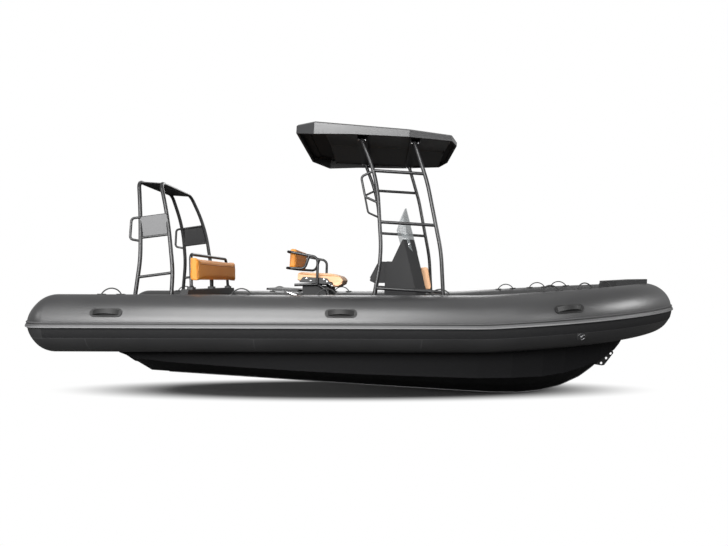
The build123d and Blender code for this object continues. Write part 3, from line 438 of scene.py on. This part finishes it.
def gloss_moulding(name, colour, worn, under):
    """Roof moulding: glossy black outside; dull black within its rim underneath, darker there
    as painted shade.
    """
    paint = new_finish(name)
    x, y, z = paint.axes()
    room = None
    for start, slope in ROOF_EDGES:
        gap = x * slope + start - y.size()
        room = gap if room is None else room.least(gap)
    below = 1.0 - z.above(ROOF_UNDER_Z)
    underside_dull_painted_shade = room.above(ROOF_RIM_T) * below
    haze = paint.grain(80, 3, 0.6)
    tone = paint.blend(haze.ease(0.5, 0.85), colour, worn)
    return paint.shade(
        # Darker within the rim underneath: painted shade
        base_color=paint.blend(underside_dull_painted_shade, tone, under),
        roughness=0.34 + haze * 0.08 + underside_dull_painted_shade * 0.2,
        specular_ior_level=0.4,
        coat_weight=1.0 - underside_dull_painted_shade,
        coat_roughness=0.12,
        normal=paint.relief(paint.grain(5, 2), 0.0014, 0.3),
    )


def clear_screen(name, colour):
    """Clear polycarbonate sheet: partly see-through, with its own shine."""
    paint = new_finish(name)
    haze = paint.grain(14, 3)
    return paint.shade(
        base_color=colour,
        roughness=0.05 + haze * 0.04,
        specular_ior_level=0.8,
        alpha=0.42 + haze * 0.06,
    )


def braided_rope(name, colour, worn):
    """Braided rope: small round strands, paler at their middles and darker between them."""
    paint = new_finish(name)
    strand = paint.cells(420)
    return paint.shade(
        base_color=paint.blend(strand.ease(0.1, 0.6), worn, colour),
        roughness=0.8,
        normal=paint.relief(strand, 0.0012, 0.8),
    )


# Each finish: its material, colour and worn colour, then what it sets of roughness,
# shine and coat
FINISH = {
    "tube": coated_fabric("tube_fabric", grey(0.0155, 0.016), grey(0.021, 0.0215)),
    # Rub strake: the fourth colour is the ridge's painted highlight, the fifth the painted
    # shade in its groove and under its lip
    "strake": lipped_rubber(
        "strake_rubber", grey(0.044, 0.045), grey(0.058, 0.059), grey(0.125, 0.127), grey(0.008)
    ),
    "band": moulded_rubber("band_rubber", grey(0.0095, 0.010), grey(0.014, 0.0145), 0.6, 0.2),
    "rubber": moulded_rubber("black_rubber", grey(0.007), grey(0.012), 0.5),
    "rope": braided_rope("lifeline_rope", grey(0.012), grey(0.035)),
    "hull": gelcoat("hull_gelcoat", grey(0.0035, 0.004), grey(0.007, 0.0075), 0.52, 0.16),
    "moulding": gelcoat("dark_moulding", grey(0.009, 0.0095), grey(0.013, 0.0135), 0.55, 0.3),
    "dash": gelcoat("dash_moulding", grey(0.009, 0.0095), grey(0.013, 0.0135), 0.55, 0.3),
    # Roof: the third colour is its underside's, darker as painted shade
    "roof": gloss_moulding(
        "roof_gelcoat", grey(0.018, 0.019), grey(0.026, 0.027), grey(0.012, 0.0125)
    ),
    "lining": gelcoat("roof_lining", grey(0.026, 0.0265), grey(0.034, 0.0345), 0.26, 0.6),
    "bead": gelcoat("roof_bead", grey(0.060, 0.061), grey(0.075, 0.076), 0.3, 0.6),
    "sole": tread("sole_tread", grey(0.060, 0.062), grey(0.085, 0.087)),
    "frame": powder_coat("frame_powder", grey(0.011, 0.0115), grey(0.018, 0.0185), 0.27),
    "rail": powder_coat("rail_powder", grey(0.004, 0.0045), grey(0.007, 0.0075), 0.28),
    "black": powder_coat("black_powder", grey(0.0045, 0.005), grey(0.008, 0.0085), 0.45),
    "panel": panel_sheet("panel_sheet", grey(0.115, 0.117), grey(0.004, 0.0045)),
    "vinyl": marine_vinyl("tan_vinyl", (0.46, 0.165, 0.016), (0.52, 0.205, 0.028)),
    "pale": marine_vinyl("pale_vinyl", (0.57, 0.33, 0.185), (0.63, 0.39, 0.23)),
    "piping": marine_vinyl("tan_piping", (0.30, 0.115, 0.028), (0.36, 0.15, 0.04)),
    "steel": stainless("stainless_steel", grey(0.72, 0.73), 0.22),
    "dull_steel": stainless("dull_steel", grey(0.24, 0.245), 0.34),
    # Keel guard: pale grey as a painted highlight along the keel
    "guard_highlight": moulded_rubber("keel_guard_highlight", grey(0.20, 0.205), grey(0.26, 0.265), 0.35),
    "screen": clear_screen("clear_screen", (0.20, 0.215, 0.22)),
    "lamp": gelcoat("lamp_lens", grey(0.35, 0.36), grey(0.42, 0.43), 0.25, 0.5, 0.6),
}

NODE_FINISH = {
    "collar_port": "tube",
    "collar_starboard": "tube",
    "collar_bow": "tube",
    "rub_strake": "strake",
    "wear_band": "band",
    "tube_handles": "rubber",
    "lifeline_loops": "rope",
    "loop_patches": "rubber",
    "tow_rings": "dull_steel",
    "bow_step": "black",
    "bow_eye": "black",
    "hull": "hull",
    "transom": "hull",
    "sole": "sole",
    "aft_deck": "moulding",
    "bow_deck": "moulding",
    "bow_lid": "sole",
    "console": "moulding",
    "dash": "dash",
    "windscreen": "screen",
    "console_pad": "vinyl",
    "fore_seat_box": "moulding",
    "fore_seat_lid": "moulding",
    "fore_seat_cushion": "vinyl",
    "ttop_frame_port": "frame",
    "ttop_frame_starboard": "frame",
    "roof": "roof",
    "roof_channels": "frame",
    "helm_seat_box": "moulding",
    "helm_seat_rims": "rail",
    "helm_seat_pan": "black",
    "helm_seat_rail": "rail",
    "helm_seat_cushion": "vinyl",
    "helm_backrest": "vinyl",
    "shelf": "black",
    "shelf_brackets": "steel",
    "roll_bar": "frame",
    "bar_panels": "panel",
    "bar_rack": "black",
    "bench_box": "moulding",
    "bench_lid": "moulding",
    "bench_cushion": "vinyl",
    "bench_beam": "black",
    "bench_frame": "rail",
    "bench_backrest": "vinyl",
}


def dress_nodes():
    """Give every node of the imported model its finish."""
    for name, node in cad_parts.items():
        material = FINISH[NODE_FINISH[name]]
        if not node.material_slots:
            node.data.materials.append(material)
        for slot in node.material_slots:
            slot.material = material


dress_nodes()


# Mesh helpers
BEAD_SIDES = 8


def new_piece(name, form, finish, body, smooth=True):
    """A finished mesh object that rides on a body."""
    bmesh.ops.recalc_face_normals(form, faces=form.faces)
    mesh = bpy.data.meshes.new(name)
    form.to_mesh(mesh)
    form.free()
    mesh.materials.append(FINISH[finish])
    for face in mesh.polygons:
        face.use_smooth = smooth
    piece = bpy.data.objects.new(name, mesh)
    bpy.context.scene.collection.objects.link(piece)
    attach(piece, body)


def add_ring(form, place, along, normal, radius, sides):
    """The edges of a ring round a place, square to a direction."""
    turn = Matrix((normal.cross(along), normal, along)).transposed().to_4x4()
    where = Matrix.Translation(place) @ turn
    ring = bmesh.ops.create_circle(form, segments=sides, radius=radius, matrix=where)
    return list({edge for vert in ring["verts"] for edge in vert.link_edges})


def skin_rings(form, rings, closed=False):
    """Bridge each ring to the next, then cap the ends or bridge them too."""
    pairs = list(zip(rings, rings[1:]))
    if closed:
        pairs.append((rings[-1], rings[0]))
    for low, high in pairs:
        bmesh.ops.bridge_loops(form, edges=low + high)
    if not closed:
        bmesh.ops.edgeloop_fill(form, edges=rings[0])
        bmesh.ops.edgeloop_fill(form, edges=rings[-1])


def add_tube(form, points, radius, closed=False):
    """A round bead along points, with capped ends unless it is closed."""
    rings = []
    normal = None
    for i, point in enumerate(points):
        before = points[i - 1] if closed or i > 0 else point
        after = points[(i + 1) % len(points)] if closed or i < len(points) - 1 else point
        along = (after - before).normalized()
        if normal is None:
            normal = along.orthogonal().normalized()
        normal = (normal - along * normal.dot(along)).normalized()
        rings.append(add_ring(form, point, along, normal, radius, BEAD_SIDES))
    skin_rings(form, rings, closed)


# Top of a disc: shares of its radius and thickness at its softened edge,
# and of its radius and rise at each ring of a dome
DISC_EDGE = (0.9, 1.15)
DOME_RINGS = [(0.72, 0.7), (0.3, 1.0)]


def add_disc(form, place, axis, radius, thickness, dome=0.0, sides=12):
    """A short round boss on a surface, with a domed top if wanted."""
    axis = Vector(axis).normalized()
    side = axis.orthogonal().normalized()
    levels = [(radius, 0.0), (radius, thickness)]
    if dome:
        levels += [(radius * reach, thickness + dome * rise) for reach, rise in DOME_RINGS]
    else:
        levels.append((radius * DISC_EDGE[0], thickness * DISC_EDGE[1]))
    rings = []
    for reach, height in levels:
        rings.append(add_ring(form, place + axis * height, axis, side, reach, sides))
    skin_rings(form, rings)


# Cushions: blown up a little as cloth, then held flat where they rest
CUSHIONS = [
    # node, body, voxel, most swell, axis across the resting side, fill
    ("helm_seat_cushion", "helm_seat", 0.0085, 0.014, "Z", 0.8),
    ("helm_backrest", "helm_seat", 0.0075, 0.012, "X", 0.8),
    ("bench_cushion", "bench_seat", 0.0090, 0.013, "Z", 0.8),
    ("bench_backrest", "boat", 0.0085, 0.013, "X", 0.8),
    ("fore_seat_cushion", "fore_seat", 0.0085, 0.013, "Z", 0.8),
    ("console_pad", "boat", 0.0075, 0.010, "X", 0.8),
]
PALE_CUSHIONS = ("helm_seat_cushion", "console_pad")
START_INSET = 0.005
REST_LIFT = 0.0004
REST_BAND = 0.001
SWELL_FRAMES = 20
CLOTH = {
    "quality": 4,
    "mass": 0.25,
    "tension_stiffness": 12,
    "compression_stiffness": 12,
    "shear_stiffness": 6,
    "bending_stiffness": 0.4,
    "use_pressure": True,
    "uniform_pressure_force": 4.0,
}


def start_mesh(name, voxel):
    """A cushion's form, moved in from its faces and remeshed, and its low corner."""
    form = bmesh.new()
    form.from_mesh(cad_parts[name].data)
    bmesh.ops.remove_doubles(form, verts=form.verts, dist=1e-5)
    low = Vector([min(v.co[i] for v in form.verts) for i in range(3)])
    high = Vector([max(v.co[i] for v in form.verts) for i in range(3)])
    middle = (low + high) / 2
    for vert in form.verts:
        for i in range(3):
            half = (high[i] - low[i]) / 2
            vert.co[i] = middle[i] + (vert.co[i] - middle[i]) * (half - START_INSET) / half
    mesh = bpy.data.meshes.new(name + "_start")
    form.to_mesh(mesh)
    form.free()
    start = bpy.data.objects.new(name + "_start", mesh)
    bpy.context.scene.collection.objects.link(start)
    remesh = start.modifiers.new("remesh", "REMESH")
    remesh.mode = "VOXEL"
    remesh.voxel_size = voxel
    remesh.use_smooth_shade = True
    view = bpy.context.evaluated_depsgraph_get()
    fine = bpy.data.meshes.new_from_object(start.evaluated_get(view))
    start.modifiers.clear()
    start.data = fine
    return start, low


def add_cloth(start):
    """Cloth under a little pressure, without gravity."""
    cloth = start.modifiers.new("cloth", "CLOTH")
    for key, value in CLOTH.items():
        setattr(cloth.settings, key, value)
    cloth.settings.effector_weights.gravity = 0
    cloth.collision_settings.use_collision = False
    cloth.point_cache.frame_start = 1
    cloth.point_cache.frame_end = SWELL_FRAMES


def hold_swell(mesh, start, low, most, axis):
    """Cap how far the blown points go, and keep the resting side flat."""
    floor = low[axis] + REST_LIFT
    resting = low[axis] + START_INSET + REST_BAND
    for vert, before in zip(mesh.vertices, start.data.vertices):
        move = vert.co - before.co
        if move.length > most:
            move = move.normalized() * most
        place = before.co + move
        place[axis] = floor if before.co[axis] < resting else max(place[axis], floor)
        vert.co = place


def add_padding(name, body, mesh):
    """The swollen mesh as the piece that stands in for a plain cushion."""
    mesh.materials.clear()
    mesh.materials.append(FINISH["pale" if name in PALE_CUSHIONS else "vinyl"])
    for face in mesh.polygons:
        face.use_smooth = True
    mesh.name = name.replace("_cushion", "") + "_padding"
    piece = bpy.data.objects.new(mesh.name, mesh)
    bpy.context.scene.collection.objects.link(piece)
    fine = piece.modifiers.new("fine", "SUBSURF")
    fine.levels = 1
    fine.render_levels = 1
    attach(piece, body)
    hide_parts(name)
    return piece


def swell_all():
    """Run every cushion's cloth together, and finish each one as padding."""
    starts = []
    for name, body, voxel, most, letter, fill in CUSHIONS:
        start, low = start_mesh(name, voxel)
        add_cloth(start)
        starts.append((start, low))
    for step in range(1, SWELL_FRAMES + 1):
        bpy.context.scene.frame_set(step)
    view = bpy.context.evaluated_depsgraph_get()
    padding = {}
    for row, (start, low) in zip(CUSHIONS, starts):
        name, body, voxel, most, letter, fill = row
        mesh = bpy.data.meshes.new_from_object(start.evaluated_get(view))
        hold_swell(mesh, start, low, most, "XYZ".index(letter))
        bpy.data.objects.remove(start)
        padding[name] = add_padding(name, body, mesh)
    bpy.context.scene.frame_set(1)
    return padding


PADDING = swell_all()


# Piping along the cushions' edges, laid on the swollen surface
PIPING_R = 0.0034
PIPING_STEP = 0.02
PIPING = [
    # node, body, axis across the loops, share of the cushion's depth at each loop
    ("helm_seat_cushion", "helm_seat", "Z", (0.82,)),
    ("helm_backrest", "helm_seat", "X", (0.12, 0.88)),
    ("bench_cushion", "bench_seat", "Z", (0.84,)),
    ("bench_backrest", "boat", "X", (0.14, 0.86)),
    ("fore_seat_cushion", "fore_seat", "Z", (0.84,)),
]


def slice_loop(piece, axis, level):
    """Points round a cushion where a plane across one axis cuts its surface."""
    form = bmesh.new()
    form.from_mesh(piece.data)
    normal = Vector([1.0 if i == axis else 0.0 for i in range(3)])
    cut = bmesh.ops.bisect_plane(
        form,
        geom=form.verts[:] + form.edges[:] + form.faces[:],
        plane_co=normal * level,
        plane_no=normal,
    )
    links = {}
    for edge in cut["geom_cut"]:
        if isinstance(edge, bmesh.types.BMEdge):
            one, two = edge.verts
            links.setdefault(one, []).append(two)
            links.setdefault(two, []).append(one)
    start = min(links, key=lambda v: (round(v.co[1], 4), round(v.co[(axis + 1) % 3], 4)))
    loop = [start]
    previous = None
    while len(loop) <= len(links):
        choices = [v for v in links[loop[-1]] if v is not previous]
        if not choices or choices[0] is start:
            break
        previous = loop[-1]
        loop.append(choices[0])
    points = [v.co.copy() for v in loop]
    form.free()
    return points


def even_points(points, step):
    """The same closed loop with its points evenly spaced and smoothed."""
    closed = points + [points[0]]
    lengths = [0.0]
    for one, two in zip(closed, closed[1:]):
        lengths.append(lengths[-1] + (two - one).length)
    count = max(12, int(lengths[-1] / step))
    even = []
    k = 0
    for i in range(count):
        want = lengths[-1] * i / count
        while lengths[k + 1] < want:
            k += 1
        share = (want - lengths[k]) / max(lengths[k + 1] - lengths[k], 1e-9)
        even.append(closed[k].lerp(closed[k + 1], share))
    for _ in range(2):
        even = [
            even[i] * 0.5 + even[i - 1] * 0.25 + even[(i + 1) % count] * 0.25
            for i in range(count)
        ]
    return even


def lay_piping():
    """One piece of piping for each cushion that has it."""
    for name, body, letter, shares in PIPING:
        piece = PADDING[name]
        axis = "XYZ".index(letter)
        low = min(v.co[axis] for v in piece.data.vertices)
        high = max(v.co[axis] for v in piece.data.vertices)
        form = bmesh.new()
        for share in shares:
            loop = slice_loop(piece, axis, low + (high - low) * share)
            add_tube(form, even_points(loop, PIPING_STEP), PIPING_R, True)
        new_piece(name.replace("_cushion", "") + "_piping", form, "piping", body)


lay_piping()


# Bolts: radius and height of the washer and of the head's side, and the head's dome
BOLT_WASHER = (0.011, 0.002)
BOLT_HEAD = (0.0075, 0.005)
BOLT_DOME = 0.003
BOLT_SINK = 0.001

# Side brackets of the helm seat: x and z of each bolt
BRACKET_Y = 0.451
BRACKET_BOLTS = [(-0.715, 0.808), (-0.668, 0.787), (-0.539, 0.808), (-0.505, 0.787)]

# Ends of the roof channels: x of each bolt under them
CHANNEL_Y = 0.582
CHANNEL_Z = 2.205
CHANNEL_BOLTS = (-0.268, -0.204, 0.254, 0.318)

# Foot plates of the frames: x, y and z of the middle of each one's top
FOOT_REACH = 0.034
FEET = [
    (-0.090, 0.665, 0.120),
    (0.715, 0.665, 0.120),
    (-2.345, 0.655, 0.430),
    (-1.985, 0.655, 0.430),
]

# Clamps of the bench's posts: a bolt on each side of a post, also of the middle one
CLAMP_X = -1.8
CLAMP_Z = 0.655
POST_Y = 0.64
CLAMP_HALF = 0.032

# Windscreen: its bolt on the port side, and the way that the bolt's head faces
SCREEN_BOLT = (0.300, 0.360, 1.223)
SCREEN_SLANT = (0.324, 0.946, 0)


def foot_bolts():
    """Four bolts on each foot plate."""
    places = []
    for x, y, z in FEET:
        for degrees in (45, 135, 225, 315):
            turn = math.radians(degrees)
            places.append((x + FOOT_REACH * math.cos(turn), y + FOOT_REACH * math.sin(turn), z))
    return places


BOLT_SETS = [
    # piece, finish, body, scale, axis, places on the port side
    ("helm_bracket_bolts", "steel", "helm_seat", 0.85, (0, 1, 0),
     [(x, BRACKET_Y, z) for x, z in BRACKET_BOLTS]),
    ("channel_bolts", "steel", "boat", 0.95, DOWN,
     [(x, CHANNEL_Y, CHANNEL_Z) for x in CHANNEL_BOLTS]),
    ("foot_bolts", "steel", "boat", 0.85, UP, foot_bolts()),
    ("clamp_bolts", "black", "boat", 1.4, UP,
     [(CLAMP_X, y, CLAMP_Z) for y in (POST_Y - CLAMP_HALF, POST_Y + CLAMP_HALF, CLAMP_HALF)]),
    ("screen_bolts", "steel", "boat", 1.0, SCREEN_SLANT, [SCREEN_BOLT]),
]


def add_bolt(form, place, axis, scale):
    """A washer sunk a little into its surface, and a domed head on it."""
    washer_r, washer_t = [size * scale for size in BOLT_WASHER]
    head_r, head_t = [size * scale for size in BOLT_HEAD]
    add_disc(form, place - axis * BOLT_SINK, axis, washer_r, washer_t + BOLT_SINK)
    add_disc(form, place + axis * washer_t, axis, head_r, head_t, BOLT_DOME * scale)


def fit_bolts():
    """Each set of bolts as one piece, to port and mirrored to starboard."""
    for name, finish, body, scale, axis, places in BOLT_SETS:
        form = bmesh.new()
        for place in places:
            for side in (1, -1):
                flip = Vector((1, side, 1))
                add_bolt(form, Vector(place) * flip, Vector(axis) * flip, scale)
        new_piece(name, form, finish, body)


fit_bolts()


# Keel guard: a thin strip along the keel and the lower stem, half sunk in the hull, its pale
# grey a painted highlight
GUARD_R = 0.0065
GUARD_FROM_X = -2.20
GUARD_TO_X = 2.44
GUARD_TOP_Z = 0.2
GUARD_STEP = 0.04
BELOW_HULL_Z = -2


def keel_points():
    """Points along the underside of the hull on the centreline."""
    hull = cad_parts["hull"]
    points = []
    for i in range(int((GUARD_TO_X - GUARD_FROM_X) / GUARD_STEP) + 1):
        under = Vector((GUARD_FROM_X + i * GUARD_STEP, 0, BELOW_HULL_Z))
        hit, place = hull.ray_cast(under, UP)[:2]
        if hit and place.z < GUARD_TOP_Z:
            points.append(place)
    return points


def lay_keel_guard():
    """Strip on the keel, pale grey as a painted highlight."""
    form = bmesh.new()
    add_tube(form, keel_points(), GUARD_R)
    new_piece("keel_guard", form, "guard_highlight", "boat")


lay_keel_guard()


# Lining under the roof: two panels that meet in a fold, with beads on the joints
LINING_X = (-0.600, 0.630)
LINING_HIGH_Z = 2.2775
LINING_LOW_Z = 2.243
LINING_GAP = 0.034
LINING_T = 0.003
BEAD_R = 0.0055


def roof_half(x):
    """Half width of the roof's plan at x."""
    return min(start + slope * x for start, slope in ROOF_EDGES)


def lining_place(share, side):
    """A point of the lining: along its length from 0 to 1, across it from -1 to 1."""
    x = LINING_X[0] + (LINING_X[1] - LINING_X[0]) * share
    z = LINING_HIGH_Z + (LINING_LOW_Z - LINING_HIGH_Z) * abs(side)
    return Vector((x, (roof_half(x) - LINING_GAP) * side, z))


def line_roof():
    """The lining's panels, and the beads along its fold and across its ends."""
    form = bmesh.new()
    bmesh.ops.create_grid(form, x_segments=12, y_segments=2, size=1.0)
    for vert in form.verts:
        vert.co = lining_place((vert.co.x + 1) / 2, vert.co.y)
    bmesh.ops.recalc_face_normals(form, faces=form.faces)
    bmesh.ops.solidify(form, geom=form.faces[:], thickness=LINING_T)
    new_piece("roof_lining", form, "lining", "boat", smooth=False)
    beads = bmesh.new()
    add_tube(beads, [lining_place(i / 8, 0) for i in range(9)], BEAD_R)
    for end in (0, 1):
        across = [lining_place(end, side) for side in (-1, -0.5, 0, 0.5, 1)]
        add_tube(beads, across, BEAD_R)
    new_piece("roof_beads", beads, "bead", "boat")


line_roof()


# Lamp under the rack: radius and height of its base, and of its lens with a dome
LAMP_PLACE = Vector((-2.400, 0, 1.672))
LAMP_BASE = (0.026, 0.016)
LAMP_DOME = (0.020, 0.012, 0.012)
LAMP_SIDES = 20


def hang_lamp():
    """Small lamp under the rack, its lens down."""
    base = bmesh.new()
    add_disc(base, LAMP_PLACE, DOWN, *LAMP_BASE, sides=LAMP_SIDES)
    new_piece("rack_lamp_base", base, "rubber", "boat")
    lens = bmesh.new()
    add_disc(lens, LAMP_PLACE + DOWN * LAMP_BASE[1], DOWN, *LAMP_DOME, sides=LAMP_SIDES)
    new_piece("rack_lamp_lens", lens, "lamp", "boat")


hang_lamp()

bpy.context.view_layer.update()


# Studio: pale floor under the keel, square to the photograph's upright
FLOOR_GAP = 0.012
KEEL_TOUCH = (1.60, 0, -0.300)
FLOOR_HALF = 40
# Dark floor tone, seen only within the oval: it paints the oval as shadow over the cast one
FLOOR_SHADOW_TONE = grey(0.11)
BOUNCE_TONE = grey(0.06)
WHITE = grey(1)
SHADOW_HALF = (3.15, 0.66)
SHADOW_MIDDLE = (-0.20, 0.32)
SHADOW_NEAR = 0.62
SHADOW_FAR = 1.12


def floor_finish():
    """White, with a soft oval of painted shadow over the cast shadow, and see-through from
    below.
    """
    paint = new_finish("studio_floor")
    x, y = paint.axes()[:2]
    along = (x - SHADOW_MIDDLE[0]) / SHADOW_HALF[0]
    across = (y - SHADOW_MIDDLE[1]) / SHADOW_HALF[1]
    run = (along * along + across * across) ** 0.5
    seen = paint.add("ShaderNodeLightPath", output="Is Camera Ray")
    tone = paint.blend(seen, BOUNCE_TONE, FLOOR_SHADOW_TONE)
    matt = paint.add("ShaderNodeBsdfDiffuse", None, {"Color": tone})
    glow = paint.add("ShaderNodeEmission", None, {"Color": WHITE, "Strength": 1.0})
    # Painted shadow: the dark floor within the oval, white glow beyond it
    share = run.ease(SHADOW_NEAR, SHADOW_FAR) * seen
    top = paint.add("ShaderNodeMixShader", None, {0: share, 1: matt, 2: glow})
    clear = paint.add("ShaderNodeBsdfTransparent")
    under = paint.add("ShaderNodeNewGeometry", output="Backfacing")
    paint.put_out(paint.add("ShaderNodeMixShader", None, {0: under, 1: top, 2: clear}))
    return paint.block


def make_floor():
    """Wide floor just under the lowest point of the keel."""
    down = Vector((math.sin(BOW_DOWN), 0, -math.cos(BOW_DOWN)))
    spot = Vector(KEEL_TOUCH) + down * FLOOR_GAP
    where = Matrix.Translation(spot) @ Matrix.Rotation(-BOW_DOWN, 4, "Y")
    plan = bmesh.new()
    bmesh.ops.create_grid(plan, x_segments=1, y_segments=1, size=FLOOR_HALF, matrix=where)
    mesh = bpy.data.meshes.new("floor")
    plan.to_mesh(mesh)
    plan.free()
    mesh.materials.append(floor_finish())
    floor = bpy.data.objects.new("floor", mesh)
    bpy.context.scene.collection.objects.link(floor)


WORLD_LEVEL = 0.37


def make_world():
    """Plain white surroundings, dimmer for the light that they give."""
    world = bpy.data.worlds.new("studio")
    bpy.context.scene.world = world
    sky = Finish(world)
    seen = sky.add("ShaderNodeLightPath", output="Is Camera Ray")
    through = sky.add("ShaderNodeLightPath", output="Is Transmission Ray")
    levels = {"Value": seen.most(through), "To Min": WORLD_LEVEL, "To Max": 1.0}
    strength = sky.add("ShaderNodeMapRange", None, levels)
    light = sky.add("ShaderNodeBackground", None, {"Color": WHITE, "Strength": strength})
    sky.add("ShaderNodeOutputWorld", None, {"Surface": light})


LAMPS = [
    # name, place, target, size, watts
    ("key", (-2.8, -7.6, 2.3), (-1.0, 0, 0.7), (6.0, 2.2), 790),
    ("key_upper", (-2.6, -6.5, 6.2), (-0.8, 0, 0.8), (6.4, 4.0), 860),
    ("stern_strip", (-7.5, -4.0, 2.4), (-2.0, 0, 0.6), (1.6, 1.6), 55),
    ("roof_strip", (0.5, -7.6, 4.4), (0, 0, 2.0), (2.6, 0.9), 44),
    ("bow_fill", (4.2, -6.5, 2.6), (1.8, 0, 0.7), (2.4, 2.4), 100),
    ("bow_side", (8.0, -1.6, 3.9), (2.0, -0.6, 0.6), (3.4, 1.8), 210),
    ("overhead", (0.0, 0.6, 6.5), (0, 0, 0), (8.5, 5.0), 50),
    ("port_fill", (-0.5, 7.0, 4.6), (0, 0, 0.6), (6.0, 3.0), 190),
]


def make_lamp(name, place, target, size, watts):
    """A soft rectangular lamp that points at a target."""
    data = bpy.data.lights.new(name, "AREA")
    data.shape = "RECTANGLE"
    data.size, data.size_y = size
    data.energy = watts
    lamp = bpy.data.objects.new(name, data)
    bpy.context.scene.collection.objects.link(lamp)
    aim = (Vector(target) - Vector(place)).to_track_quat("-Z", "Y")
    lamp.matrix_world = Matrix.Translation(place) @ aim.to_matrix().to_4x4()


make_floor()
make_world()
for name, place, target, size, watts in LAMPS:
    make_lamp(name, place, target, size, watts)

bpy.context.scene.view_settings.view_transform = "Standard"
